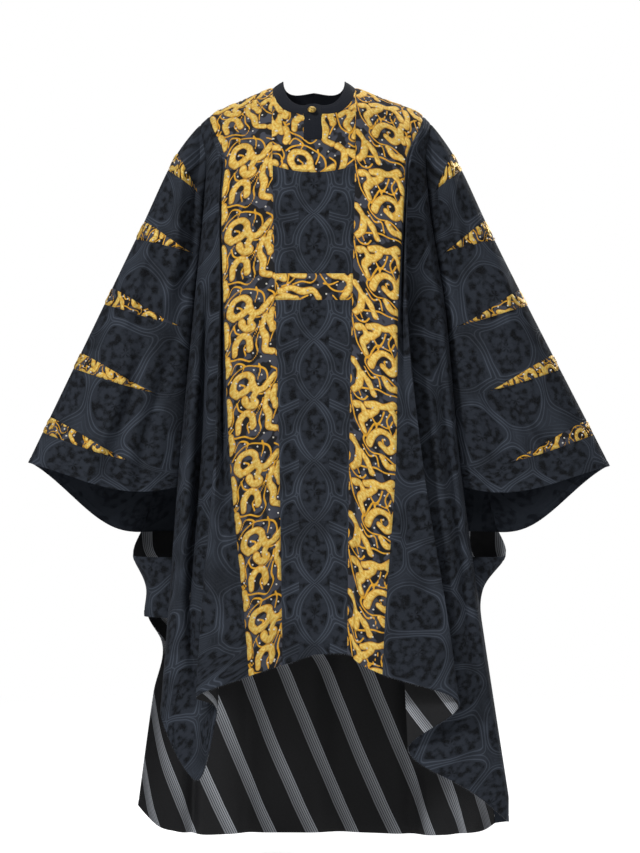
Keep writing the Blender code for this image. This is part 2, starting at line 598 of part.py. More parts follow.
def wrap_piece(side, rail, back_rail):
    """The short closed stretch below the sleeve's mouth, from the front gore round to the back one."""
    rows = np.arange(WRAP_START, WRAP_END[side] + 1)
    sign = -1 if side == "left" else 1
    grid = np.empty((len(rows), WRAP_STEPS + 1, 3))
    for number, row in enumerate(rows):
        for step in range(WRAP_STEPS + 1):
            share = step / WRAP_STEPS
            point = (1 - share) * rail[row] + share * back_rail[row]
            chord = back_rail[row] - rail[row]
            outward = sign * np.array((chord[1], -chord[0], 0.0))
            grid[number, step] = point + WRAP_BULGE * np.sin(np.pi * share) * outward
    return Piece(f"wrap_{side}", "jacquard", [grid], flip=side == "left")


def neckband_piece(front, back, columns, back_places):
    """A ring from the neck seam up to the open edge round the neck."""
    front_seam = front[0, between(columns, -S_YOKE, S_YOKE)]
    back_seam = back[0, between(back_places, -S_YOKE, S_YOKE)]
    ring = np.vstack((front_seam, back_seam[-2::-1]))
    lower = ring.copy()
    upper = ring.copy()
    turn = np.arctan2(ring[:, 0], -ring[:, 1])
    ahead = np.cos(turn)
    rise = NECKBAND_RISE["side"] + np.where(
        ahead > 0, (NECKBAND_RISE["front"] - NECKBAND_RISE["side"]) * ahead ** 2,
        (NECKBAND_RISE["back"] - NECKBAND_RISE["side"]) * ahead ** 2)
    upper[:, 0] *= NECKBAND_TOP / NECK_HALF_WIDTH
    upper[:, 1] += NECK_INSET * np.sign(-ring[:, 1]) * np.abs(ahead)
    upper[:, 2] += rise
    return Piece("neckband", "plain_trim", [np.stack((upper, lower))])


def placket_piece(front, columns, neckband):
    """The strip that closes the neck opening, over the neckband and the yoke."""
    place = between(columns, PLACKET_LEFT, PLACKET_RIGHT)
    strip = front[:PLACKET_ROW + 1, place]
    over_band = np.array([neckband_top(neckband, point) for point in strip[0]])
    return Piece("placket", "plain_trim", [np.vstack((over_band[None], strip))])


def neckband_top(neckband, seam_point):
    """The neckband's upper point above a point of the neck seam."""
    points = np.array(neckband.points)
    for corner in neckband.triangles:
        for start, end in zip(corner, corner[1:] + corner[:1]):
            at_seam = np.allclose(points[start], seam_point, atol=WELD)
            if at_seam and abs(points[end][2] - seam_point[2]) > NECKBAND_RISE["side"] / 2:
                return points[end]
    raise ValueError("no neckband point above the seam point")


def make_button(centre, axis):
    """A domed button on a short shank, turned about its axis."""
    profile = [(BUTTON_SHANK, 0.0), (BUTTON_SHANK, BUTTON_RIM), (BUTTON_RADIUS, BUTTON_RIM),
               (BUTTON_RADIUS, 2 * BUTTON_RIM)]
    for turn in np.radians(BUTTON_DOME):
        profile.append((BUTTON_RADIUS * np.cos(turn), 2 * BUTTON_RIM + BUTTON_RISE * np.sin(turn)))
    side = np.cross(axis, (0.0, 0.0, 1.0))
    side /= np.linalg.norm(side)
    up = np.cross(side, axis)
    points, faces = [], []
    for radius, rise in profile:
        for turn in np.arange(BUTTON_SIDES) * 2 * np.pi / BUTTON_SIDES:
            points.append(centre + axis * rise + radius * (np.cos(turn) * side + np.sin(turn) * up))
    last = len(profile) - 1
    for ring in range(last):
        for k in range(BUTTON_SIDES):
            a, b = ring * BUTTON_SIDES + k, ring * BUTTON_SIDES + (k + 1) % BUTTON_SIDES
            faces.append((a, a + BUTTON_SIDES, b + BUTTON_SIDES, b))
    foot, crown = len(points), len(points) + 1
    points += [centre, centre + axis * (2 * BUTTON_RIM + BUTTON_RISE)]
    for k in range(BUTTON_SIDES):
        after = (k + 1) % BUTTON_SIDES
        faces.append((foot, k, after))
        faces.append((crown, last * BUTTON_SIDES + after, last * BUTTON_SIDES + k))
    return mesh_object("button", "brass", points, faces)


def build():
    for old in list(bpy.data.objects):
        bpy.data.objects.remove(old, do_unlink=True)
    columns, back_places = front_columns(), back_columns()
    front, back = body_sheet("front", columns), body_sheet("back", back_places)
    pieces = body_pieces(front, back, columns, back_places)
    for side, edge in (("left", 0), ("right", -1)):
        pieces += sleeve_pieces(side, front[:, edge], back[:, edge])
        pieces.append(wrap_piece(side, front[:, edge], back[:, edge]))
    neckband = neckband_piece(front, back, columns, back_places)
    pieces.append(neckband)
    leans = shared_leans(pieces)
    for piece in pieces:
        sew(piece, leans)

    placket = sew(placket_piece(front, columns, neckband), leans, lift=CLOTH + GAP)
    under = -(CLOTH + LINING) / 2 - GAP
    lining = Piece("lining_back", "lining",
                   [back[BACK_SLEEVE_ROW:, thinned(back_places, -S_TURN, S_TURN)]], flip=True)
    sew(lining, leans, LINING, lift=under)
    for side, low, high in (("left", -S_TURN, -S_BAND), ("right", S_BAND, S_TURN)):
        lining = Piece(f"lining_front_{side}", "lining", [front[LINING_ROW:, between(columns, low, high)]])
        sew(lining, leans, LINING, lift=under)

    corners = np.array([placket.data.vertices[k].co for k in range(4)])
    along = corners[2:].mean(axis=0) - corners[:2].mean(axis=0)
    axis = np.cross(corners[1] - corners[0], along)
    axis /= -np.linalg.norm(axis) * np.sign(axis[1])
    seat = corners[2:].mean(axis=0)
    seat[0], seat[2] = BUTTON_SIDE, BUTTON_HEIGHT
    make_button(seat + axis * (CLOTH / 2 + 2 * GAP), axis)


build()
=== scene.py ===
from functools import reduce
import bpy
import numpy as np
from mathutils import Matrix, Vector


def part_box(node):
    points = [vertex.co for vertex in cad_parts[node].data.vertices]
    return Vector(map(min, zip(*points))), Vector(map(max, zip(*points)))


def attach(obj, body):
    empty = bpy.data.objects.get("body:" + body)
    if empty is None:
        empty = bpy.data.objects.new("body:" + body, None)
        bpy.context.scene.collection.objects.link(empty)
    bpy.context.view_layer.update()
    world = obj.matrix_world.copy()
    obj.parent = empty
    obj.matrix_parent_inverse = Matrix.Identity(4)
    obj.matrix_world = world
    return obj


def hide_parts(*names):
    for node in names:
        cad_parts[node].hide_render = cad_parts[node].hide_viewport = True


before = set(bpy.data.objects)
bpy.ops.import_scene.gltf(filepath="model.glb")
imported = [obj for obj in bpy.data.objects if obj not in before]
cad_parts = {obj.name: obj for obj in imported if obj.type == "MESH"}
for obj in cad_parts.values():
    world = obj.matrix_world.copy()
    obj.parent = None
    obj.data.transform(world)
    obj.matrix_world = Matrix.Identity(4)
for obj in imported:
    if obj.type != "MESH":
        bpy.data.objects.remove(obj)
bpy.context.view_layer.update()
print("frame loaded")


# Rows of numbers given in millimetres.
def metres(*rows):
    return np.array(rows) / 1000


# The robe hangs from the neck and shoulders of a wearer whose arms are a little out. Sizes are in metres;
# the tables inside metres() are written in millimetres.
# Rails run from shoulder to hem and are counted out from the centre; the tables give, for each height, the
# distance out and the distance forward of each rail: centre, yoke, band, fold, gutter, crest, outer, turn.
railPlaces = np.array((0.0, 0.085, 0.190, 0.235, 0.300, 0.370, 0.425, 0.470))
yokePlace, bandPlace, turnPlace = 0.085, 0.190, 0.470
frontReach = {
    "left": metres(
        (30, 0, 85, 216, 220, 224, 228, 232, 236),
        (-55, 0, 85, 214, 218, 222, 227, 231, 236),
        (-143, 0, 84, 181, 192, 190, 202, 212, 222),
        (-214, 0, 83, 186, 192, 184, 201, 214, 226),
        (-421, 0, 78, 183, 190, 168, 204, 234, 246),
        (-785, 0, 69, 167, 203, 168, 226, 268, 280),
        (-1085, 0, 64, 138, 224, 188, 252, 292, 302),
        (-1450, 0, 58, 112, 242, 204, 238, 322, 330)),
    "right": metres(
        (30, 0, 85, 226, 230, 233, 236, 239, 242),
        (-55, 0, 85, 224, 228, 231, 235, 238, 242),
        (-143, 0, 84, 188, 198, 198, 210, 220, 230),
        (-214, 0, 83, 184, 191, 186, 206, 222, 236),
        (-421, 0, 78, 172, 188, 166, 222, 256, 268),
        (-785, 0, 71, 164, 222, 172, 252, 292, 304),
        (-1085, 0, 68, 142, 268, 180, 286, 334, 346),
        (-1450, 0, 64, 128, 312, 196, 322, 392, 402)),
}
frontDepth = {
    "left": metres(
        (30, 112, 104, 70, 68, 66, 64, 62, 58),
        (-55, 122, 114, 80, 78, 74, 70, 64, 58),
        (-143, 132, 127, 108, 104, 94, 84, 72, 52),
        (-214, 137, 133, 121, 113, 97, 82, 68, 42),
        (-421, 142, 142, 135, 122, 102, 84, 64, 34),
        (-785, 160, 163, 158, 138, 114, 94, 68, 32),
        (-1085, 176, 180, 178, 152, 122, 104, 78, 34),
        (-1450, 190, 196, 196, 166, 134, 116, 90, 40)),
    "right": metres(
        (30, 112, 104, 70, 68, 66, 64, 62, 58),
        (-55, 122, 114, 80, 78, 74, 70, 64, 58),
        (-143, 132, 127, 108, 104, 94, 84, 74, 52),
        (-214, 137, 133, 121, 113, 97, 82, 72, 42),
        (-421, 142, 142, 137, 122, 102, 84, 72, 34),
        (-785, 160, 163, 160, 138, 114, 94, 78, 32),
        (-1085, 176, 180, 178, 152, 122, 104, 84, 28),
        (-1450, 190, 196, 196, 166, 134, 116, 90, 20)),
}
backReach = {
    "left": metres(
        (30, 0, 85, 216, 220, 224, 228, 232, 236),
        (-55, 0, 85, 214, 218, 222, 227, 231, 236),
        (-214, 0, 88, 186, 206, 222, 236, 250, 262),
        (-555, 0, 92, 184, 212, 238, 262, 286, 310),
        (-895, 0, 94, 182, 218, 252, 288, 324, 358),
        (-960, 0, 94, 182, 218, 254, 292, 334, 380),
        (-1030, 0, 94, 182, 216, 250, 284, 316, 343),
        (-1085, 0, 94, 182, 216, 248, 280, 314, 350),
        (-1140, 0, 95, 183, 216, 246, 274, 300, 322),
        (-1250, 0, 96, 186, 220, 252, 283, 312, 339),
        (-1500, 0, 98, 192, 228, 262, 298, 334, 373)),
    "right": metres(
        (30, 0, 85, 226, 230, 233, 236, 239, 242),
        (-55, 0, 85, 224, 228, 231, 235, 238, 242),
        (-214, 0, 88, 190, 210, 226, 242, 256, 270),
        (-555, 0, 92, 188, 216, 244, 272, 298, 324),
        (-895, 0, 94, 186, 222, 258, 298, 340, 382),
        (-960, 0, 94, 186, 222, 260, 302, 350, 401),
        (-1030, 0, 94, 186, 220, 254, 288, 318, 338),
        (-1085, 0, 94, 186, 220, 254, 286, 308, 316),
        (-1180, 0, 95, 188, 222, 256, 290, 318, 330),
        (-1320, 0, 96, 190, 226, 262, 300, 336, 354),
        (-1500, 0, 98, 192, 230, 270, 312, 354, 376)),
}
backDepth = {
    "left": metres(
        (30, 104, 98, 70, 68, 66, 64, 62, 58),
        (-55, 116, 110, 84, 82, 80, 78, 74, 70),
        (-214, 136, 134, 122, 118, 114, 110, 106, 100),
        (-555, 138, 142, 134, 128, 120, 114, 106, 96),
        (-895, 148, 154, 148, 140, 128, 114, 96, 70),
        (-960, 150, 156, 150, 142, 130, 114, 90, 46),
        (-1030, 152, 158, 152, 144, 132, 116, 94, 66),
        (-1085, 154, 160, 154, 146, 134, 118, 92, 52),
        (-1180, 158, 164, 158, 150, 138, 122, 102, 78),
        (-1320, 162, 168, 162, 154, 142, 126, 104, 74),
        (-1500, 166, 172, 168, 160, 148, 130, 106, 72)),
    "right": metres(
        (30, 104, 98, 70, 68, 66, 64, 62, 58),
        (-55, 116, 110, 84, 82, 80, 78, 74, 70),
        (-214, 136, 134, 122, 118, 114, 110, 106, 100),
        (-555, 138, 142, 134, 128, 120, 114, 106, 96),
        (-895, 148, 154, 148, 140, 128, 114, 96, 66),
        (-960, 150, 156, 150, 142, 130, 114, 86, 34),
        (-1030, 152, 158, 152, 144, 130, 108, 70, 18),
        (-1085, 154, 160, 154, 144, 128, 100, 56, 6),
        (-1180, 158, 164, 158, 148, 130, 98, 52, 4),
        (-1320, 162, 168, 162, 150, 130, 96, 50, 4),
        (-1500, 166, 172, 168, 154, 132, 96, 48, 4)),
}
hems = {
    ("front", "left"): metres(-1147, -1168, -1190, -1230, -1268, -1408, -1292, -1270),
    ("front", "right"): metres(-1147, -1146, -1186, -1240, -1342, -1432, -1492, -1508),
    ("back", "left"): metres(-1562, -1563, -1566, -1566, -1562, -1553, -1536, -1488),
    ("back", "right"): metres(-1562, -1563, -1566, -1566, -1562, -1554, -1538, -1515),
}
hangs = {"front": (frontReach, frontDepth), "back": (backReach, backDepth)}
shoulderLines = {
    "left": metres((0, 25), (85, 12), (150, -14), (225, -54), (283, -123), (360, -282), (593, -765)),
    "right": metres((0, 25), (85, 12), (150, -13), (232, -52), (287, -123), (365, -284), (614, -772)),
}
shoulderEnds = {"left": 0.225, "right": 0.232}
sleeveCorners = {"left": 0.593, "right": 0.614}
sideSigns = {"left": -1, "right": 1}

shoulder = {"neckDrop": {"front": 0.38, "back": 0.20}, "yokeFoot": -0.160, "yokeDip": 0.015}
levels = np.array((-0.160, -0.222, -0.280, -0.337, -0.381, -0.434, -0.490, -0.634, -0.775, -0.815, -0.912,
                   -0.960, -1.030, -1.085))
hemShares = np.array((0.0, 0.14, 0.40, 0.60, 0.80, 1.0))
archShares = (0.0, 0.24, 0.49, 0.74, 1.0)
archRow = 4
lastLevelRow = archRow + len(levels) - 1
lastRow = lastLevelRow + len(hemShares) - 1
rowOf = {name: archRow + int(np.argmin(abs(levels - height))) for name, height in {
    "yokeFoot": -0.160, "barTop": -0.381, "barFoot": -0.434, "sleeveFoot": -0.815, "backSleeveFoot": -0.912,
    "wrapTop": -0.960, "liningTop": -1.030, "wrapFoot": -1.085}.items()}
cloth, liningCloth, seamGap = 0.0016, 0.0010, 0.0003

# Soft folds: place across, top, foot, rise, width. Creases: from and to (place across, height), width, rise.
softFolds = {
    "front": metres(
        (-165, -600, -1300, 8, 20), (205, -500, -1300, 8, 20)),
    "back": metres(
        (-300, -250, -1600, 20, 30), (-130, -550, -1600, 14, 26), (45, -350, -1600, 16, 30),
        (215, -200, -1600, 20, 28), (360, -600, -1600, 14, 28)),
}
foldStrength = {"body": 1.6, "sleeve": 1.8}  # of the creases below
waves = {"body": 0.0012, "sleeve": 0.0014, "each": (
    (31, 9, 0.6), (17, 23, 1.9), (-26, 19, 3.1), (47, -13, 4.4), (11, -41, 5.2))}
bodyCreases = {
    "front": metres(
        (-206, -90, -204, -1160, 10, -13), (-232, -160, -228, -1050, 14, 9), (-262, -140, -258, -780, 9, -8),
        (-300, -400, -292, -1200, 16, -10), (-270, -720, -278, -1220, 12, 9), (-330, -350, -335, -1200, 14, 8),
        (-398, -420, -360, -1260, 10, -19), (-412, -340, -405, -1200, 14, 9), (-120, -550, -105, -1120, 22, 5),
        (-60, -620, -45, -1120, 20, -4), (30, -500, 40, -1080, 26, 4.5), (120, -600, 110, -1140, 20, -4.5),
        (205, -90, 208, -660, 10, -11), (228, -140, 236, -850, 13, 8), (260, -220, 268, -1100, 12, -9),
        (290, -300, 300, -1200, 14, 8), (330, -300, 338, -1380, 11, -16), (368, -350, 372, -1360, 14, 9),
        (402, -350, 405, -1400, 13, -9), (215, -740, 222, -1160, 14, -7), (-150, -200, -20, -330, 22, 2.2),
        (140, -190, 10, -360, 20, -2), (-75, -800, 80, -930, 30, 2.4), (370, -720, 300, -980, 22, 4)),
    "back": metres(
        (-180, -300, -175, -950, 20, 6), (-60, -450, -70, -1450, 26, -6), (110, -250, 125, -1100, 22, 6),
        (250, -500, 262, -1400, 20, -7), (-360, -450, -350, -1350, 20, 6), (410, -300, 400, -900, 18, 5),
        (-240, -800, -235, -1500, 22, 6), (330, -950, 325, -1500, 18, 6), (-120, -180, 60, -300, 30, 3),
        (20, -850, 150, -1020, 34, 3)),
}
# The same on a sleeve: from and to (distance in from the overarm line, distance out), width, rise.
sleeveCreases = {
    ("front", "left"): metres(
        (10, 250, 130, 420, 12, 9), (40, 240, 190, 450, 13, -11), (80, 270, 250, 520, 15, 10),
        (130, 300, 280, 540, 14, -11), (40, 380, 200, 600, 18, -7), (210, 380, 340, 600, 16, 9),
        (20, 330, 70, 460, 10, 5), (90, 440, 140, 600, 14, 8), (160, 440, 240, 610, 14, -8),
        (280, 460, 360, 600, 12, -9)),
    ("front", "right"): metres(
        (10, 260, 120, 430, 12, 8), (40, 250, 180, 460, 13, -11), (80, 280, 240, 540, 15, 10),
        (130, 310, 280, 550, 14, -11), (40, 400, 190, 610, 18, -7), (200, 400, 320, 610, 16, 9),
        (20, 400, 90, 500, 10, 5), (90, 460, 140, 620, 14, 8), (160, 460, 230, 620, 14, -8),
        (270, 470, 350, 620, 12, -9)),
    ("back", "left"): metres(
        (40, 260, 200, 460, 20, 6), (80, 340, 300, 560, 24, -6), (160, 300, 360, 520, 22, 6),
        (50, 460, 200, 590, 20, 5)),
    ("back", "right"): metres(
        (40, 280, 190, 480, 20, 6), (90, 360, 280, 580, 24, -6), (150, 320, 340, 540, 22, 6),
        (60, 480, 200, 600, 20, 5)),
}


# Smooth curve through values at rising knots: cubic pieces that take the mean slope at each knot.
# The values are one row for all places, or one row for each place.
def curveAt(at, knots, values):
    at = np.clip(np.asarray(at, float), knots[0], knots[-1])
    values = np.asarray(values, float)
    step = np.diff(knots)
    rise = np.diff(values, axis=-1) / step
    middle = (step[1:] * rise[..., :-1] + step[:-1] * rise[..., 1:]) / (step[1:] + step[:-1])
    slope = np.concatenate((rise[..., :1], middle, rise[..., -1:]), axis=-1)
    left = np.clip(np.searchsorted(knots, at, side="right") - 1, 0, len(knots) - 2)

    def pick(table, index):
        if table.ndim == 1:
            return table[index]
        return np.take_along_axis(table, index[..., None], -1)[..., 0]

    width = step[left]
    t = (at - knots[left]) / width
    return ((1 + 2 * t) * (1 - t) ** 2 * pick(values, left) + t * (1 - t) ** 2 * width * pick(slope, left)
            + t ** 2 * (3 - 2 * t) * pick(values, left + 1) + t ** 2 * (t - 1) * width * pick(slope, left + 1))


# What a table says at each height and place across: down its columns first, then between the rails.
def tableAt(table, height, out):
    rising = table[::-1]
    byRail = [curveAt(height, rising[:, 0], rising[:, 1 + rail]) for rail in range(len(railPlaces))]
    return curveAt(out, railPlaces, np.stack(byRail, axis=-1))


# Each crease is a soft ridge or trough: a bell across its line, fading to nothing at both ends and
# wandering a little from the straight.
def creaseRise(creases, across, along):
    total = np.zeros_like(across)
    for number, (across0, along0, across1, along1, width, rise) in enumerate(creases):
        runAcross, runAlong = across1 - across0, along1 - along0
        length = np.hypot(runAcross, runAlong)
        share = ((across - across0) * runAcross + (along - along0) * runAlong) / length ** 2
        off = ((across - across0) * runAlong - (along - along0) * runAcross) / length
        off = off + 0.35 * width * np.sin(7.0 * share + 2.1 * number)
        fade = np.sin(np.pi * np.clip(share, 0, 1)) ** 0.8
        total += rise * fade * np.exp(-(off / width) ** 2)
    return total


# Slight unevenness all over: a few slow waves at unlike angles.
def uneven(across, along, seed):
    total = np.zeros_like(across)
    for a, b, shift in waves["each"]:
        total += np.sin(a * across + b * along + shift + 1.7 * seed) / len(waves["each"])
    return total


# One side of the front or back sheet. Each place starts on the neck seam or the shoulder line, rounds over
# the shoulder as a quarter ellipse, then hangs by the tables; a row number says how far down it is.
def bodySide(face, side, out, row):
    reach, depth = hangs[face][0][side], hangs[face][1][side]
    line = shoulderLines[side]
    topOut = curveAt(out, railPlaces, reach[0, 1:])
    crown = curveAt(topOut, line[:, 0], line[:, 1])
    intoNeck = np.clip(1 - (out / yokePlace) ** 4, 0, None)
    start = np.arccos(1 - shoulder["neckDrop"][face] * np.sqrt(intoNeck))
    angle = start + (np.pi / 2 - start) * np.interp(row, range(len(archShares)), archShares)
    dip = shoulder["yokeDip"] * np.clip(1 - (out / yokePlace) ** 2, 0, None) if face == "front" else 0 * out
    foot = shoulder["yokeFoot"] - dip
    arch = crown - (crown - foot) * (1 - np.cos(angle))
    level = np.interp(row, archRow + np.arange(len(levels)), levels) - dip * np.clip(1 + archRow - row, 0, 1)
    hem = curveAt(out, railPlaces, hems[face, side])
    run = levels[-1] + (hem - levels[-1]) * np.interp(row, lastLevelRow + np.arange(len(hemShares)), hemShares)
    height = np.where(row <= archRow, arch, np.where(row <= lastLevelRow, level, run))
    firstHeight = crown - (crown - foot) * (1 - np.cos(start))
    x = tableAt(reach, height, out)
    x = x + (topOut - tableAt(reach, firstHeight, out)) * np.cos(angle)
    signed = sideSigns[side] * out
    forward = tableAt(depth, height, out)
    for place, top, low, rise, width in softFolds[face]:
        fade = np.clip((top - height) / (top - low), 0, 1) ** 0.7
        forward = forward + rise * fade * np.exp(-((signed - place) / width) ** 2)
    forward = forward + foldStrength["body"] * creaseRise(bodyCreases[face], signed, height)
    forward = forward + waves["body"] * uneven(signed, height, 0 if face == "front" else 3)
    y = (-1 if face == "front" else 1) * np.sin(angle) * forward
    return np.stack((sideSigns[side] * x, y, height), axis=-1)


def bodyPoints(face, places, rows):
    places, rows = np.broadcast_arrays(np.asarray(places, float), np.asarray(rows, float))
    points = np.empty(places.shape + (3,))
    for side in sideSigns:
        mine = places < 0 if side == "left" else places >= 0
        if mine.any():
            points[mine] = bodySide(face, side, np.abs(places[mine]), rows[mine])
    return points


# The line that body and sleeve share: the outermost rail of the front or back sheet.
def turnLine(face, side, rows):
    return bodyPoints(face, sideSigns[side] * turnPlace, rows)


sleeve = {"bulge": {"front": 0.062, "back": 0.058}, "tail": {"front": 1.0, "back": 1.5}, "full": 0.16,
          "sag": {"front": 0.024, "back": 0.030}, "start": 0.004}


# A sleeve is a straight line from the overarm to the inner seam that bulges between them: most near the
# overarm, where it turns round it, and sagging a little towards its hem.
def sleevePoints(face, side, out, inner, part):
    line = shoulderLines[side]
    edge = np.stack((sideSigns[side] * out, np.zeros_like(out), curveAt(out, line[:, 0], line[:, 1])), axis=-1)
    span = np.linalg.norm(edge - inner, axis=-1)
    wide = np.minimum(1.0, span / sleeve["full"])
    tail = sleeve["tail"][face]
    peak = 0.5 / (0.5 + tail)
    arch = np.sqrt(part / peak) * ((1 - part) / (1 - peak)) ** tail
    towardsHem = np.clip((out - shoulderEnds[side]) / (sleeveCorners[side] - shoulderEnds[side]), 0, 1)
    sag = sleeve["sag"][face] * towardsHem ** 3 * np.sin(np.pi * part ** 1.5)
    points = (1 - part)[..., None] * edge + part[..., None] * inner
    held = np.clip(4 * (1 - part), 0, 1) * np.clip(8 * part, 0, 1)
    rise = foldStrength["sleeve"] * creaseRise(sleeveCreases[face, side], part * span, out)
    rise = rise + waves["sleeve"] * uneven(part * span, out, 5)
    points[..., 1] += (-1 if face == "front" else 1) * (sleeve["bulge"][face] * wide * arch + rise * held)
    points[..., 2] -= sag
    return points


# Shares from 0 to 1 along a length, in even steps, with closer ones at an end that is a seam or a hem.
def fineShares(length, step, ends=("seam", "seam")):
    near = {"seam": (0, 0.0012, 0.0028, 0.005), "hem": (0, 0.0015, 0.005, 0.009, 0.0115, 0.013, 0.0145, 0.018),
            "plain": (0,)}
    first = np.array(near[ends[0]])
    last = length - np.array(near[ends[1]])[::-1]
    count = max(2, int(np.ceil((last[0] - first[-1]) / step)) + 1)
    middle = np.linspace(first[-1], last[0], count)[1:-1]
    return np.concatenate((first, middle, last)) / length


# Row numbers between two shared rows, spaced by length down the cloth.
def fineRows(first, last, hemRun, step, ends=("seam", "seam")):
    lengths = np.concatenate((np.full(archRow, 0.058), -np.diff(levels), np.diff(hemShares) * hemRun))
    run = np.concatenate(((0,), np.cumsum(lengths)))
    numbers = np.arange(len(run))
    start, stop = np.interp((first, last), numbers, run)
    return np.interp(start + (stop - start) * fineShares(stop - start, step, ends), run, numbers)


# Distances along the rows and down the columns of a grid, in metres of cloth.
def clothRun(points, axis):
    gaps = np.linalg.norm(np.diff(points, axis=axis), axis=-1)
    run = np.cumsum(gaps, axis=axis)
    return np.insert(run, 0, 0.0, axis=axis)


def gridNormals(points, flip):
    normals = np.cross(np.gradient(points, axis=0), np.gradient(points, axis=1))
    lengths = np.linalg.norm(normals, axis=-1, keepdims=True)
    return normals / np.maximum(lengths, 1e-12) * (-1 if flip else 1)


edgeWork = {"rollDepth": 0.0011, "rollWidth": 0.0024, "hemWidth": 0.013, "hemRise": 0.0004, "stitchDepth": 0.0005,
            "stitchWidth": 0.0016}


# Rolls a grid's sides in where they are seamed, and presses a row of stitches beside a hem.
# The sides are named in the order first column, last column, first row, last row.
def finishEdges(points, flip, sides):
    across, down = clothRun(points, 1), clothRun(points, 0)
    away = (across, across[:, -1:] - across, down, down[-1:] - down)
    depth = np.zeros(points.shape[:2])
    for kind, distance in zip(sides, away):
        if kind == "seam":
            depth += edgeWork["rollDepth"] * np.exp(-(distance / edgeWork["rollWidth"]) ** 2)
        if kind == "hem":
            beyond = distance - edgeWork["hemWidth"]
            depth += edgeWork["stitchDepth"] * np.exp(-(beyond / edgeWork["stitchWidth"]) ** 2)
            depth -= edgeWork["hemRise"] * (beyond < 0)
    return points - gridNormals(points, flip) * depth[..., None], across, down


# A block is one grid of a piece: its points, its place on the cloth in metres, and what the material reads.
def block(points, flip, sides, origin=(0.0, 0.0)):
    points, across, down = finishEdges(points, flip, sides)
    return {"points": points, "flip": flip, "reads": {},
            "place": np.stack((across + origin[0], down + origin[1]), axis=-1)}


print("hang worked out")


# ---- node trees: short helpers, each of which finds its tree from the sockets it is given
def addNode(tree, kind, feeds=None, **settings):
    made = tree.nodes.new(kind)
    for key, value in settings.items():
        setattr(made, key, value)
    for key, value in (feeds or {}).items():
        if isinstance(value, bpy.types.NodeSocket):
            tree.links.new(value, made.inputs[key])
        else:
            made.inputs[key].default_value = value
    return made


def nodeFor(values, kind, feeds, **settings):
    tree = next(value.id_data for value in values if isinstance(value, bpy.types.NodeSocket))
    return addNode(tree, kind, feeds, **settings).outputs


def join(value, socket):
    socket.id_data.links.new(value, socket)


def maths(operation, *values):
    return nodeFor(values, "ShaderNodeMath", dict(enumerate(values)), operation=operation)[0]


def plus(*values):
    return reduce(lambda total, value: maths("ADD", total, value), values)


def times(*values):
    return reduce(lambda total, value: maths("MULTIPLY", total, value), values)


def minus(value, less):
    return maths("SUBTRACT", value, less)


def vectors(operation, *values):
    made = nodeFor(values, "ShaderNodeVectorMath", dict(enumerate(values)), operation=operation)
    return made["Value" if operation == "LENGTH" else "Vector"]


def axes(vector):
    return nodeFor((vector,), "ShaderNodeSeparateXYZ", {0: vector})[:2]


# Rises smoothly from first to last as the value goes from low to high.
def between(value, low, high, first=0.0, last=1.0):
    feeds = dict(enumerate((value, low, high, first, last)))
    return nodeFor((value,), "ShaderNodeMapRange", feeds, interpolation_type="SMOOTHSTEP")[0]


def mixColour(share, first, second):
    return nodeFor((share,), "ShaderNodeMix", {0: share, 6: first, 7: second}, data_type="RGBA")[2]


def noise(place, scale, detail, roughness=0.5, output=0):
    feeds = {"Vector": place, "Scale": scale, "Detail": detail, "Roughness": roughness}
    return nodeFor((place,), "ShaderNodeTexNoise", feeds)[output]


def cells(place, scale, feature="F1", randomness=1.0, dimensions="2D"):
    feeds = {"Vector": place, "Scale": scale, "Randomness": randomness}
    return nodeFor((place,), "ShaderNodeTexVoronoi", feeds, voronoi_dimensions=dimensions, feature=feature)


# From display values out of 255 to the shader's own linear ones.
def colour(*parts):
    parts = np.array(parts) / 255.0
    return (*np.where(parts <= 0.04045, parts / 12.92, ((parts + 0.055) / 1.055) ** 2.4).tolist(), 1.0)


def newGroup(name, numbers, results):
    group = bpy.data.node_groups.new(name, "ShaderNodeTree")
    group.interface.new_socket("Place", in_out="INPUT", socket_type="NodeSocketVector")
    for title, value in numbers.items():
        group.interface.new_socket(title, in_out="INPUT", socket_type="NodeSocketFloat").default_value = value
    for title in results:
        group.interface.new_socket(title, in_out="OUTPUT", socket_type="NodeSocketFloat")
    return group, group.nodes.new("NodeGroupInput").outputs, group.nodes.new("NodeGroupOutput").inputs


def useGroup(group, **feeds):
    return addNode(feeds["Place"].id_data, "ShaderNodeGroup", feeds, node_tree=group).outputs


# Plain weave seen close: threads of both directions, each a row of low humps, with slubs.
def weaveGroup():
    group, given, out = newGroup("weave", {"Pitch": 0.001}, ("Height", "Slub"))
    turn = maths("DIVIDE", 2 * np.pi, given["Pitch"])
    along, down = (maths("SINE", times(axis, turn)) for axis in axes(given["Place"]))
    join(times(along, down), out["Height"])
    first, second = (noise(vectors("MULTIPLY", given["Place"], stretch), 1.0, 1.0)
                     for stretch in ((160.0, 900.0, 1.0), (900.0, 160.0, 1.0)))
    join(plus(first, second), out["Slub"])
    return group


# Fine parallel lines inside a strap: given the distance from the strap's middle, three pairs of threads.
def strapLines(distance, half):
    line = between(maths("PINGPONG", distance, 0.0032), 0.0002, 0.0016, 1.0, 0.0)
    inside = between(distance, half - 0.001, half + 0.001, 1.0, 0.0)
    return times(line, inside, between(distance, -0.0012, 0.0006, 0.25, 1.0)), inside


chainLook = {"oval": 0.123, "halfOval": 0.036, "bar": 0.03075, "scallop": 0.071, "soft": 0.012}


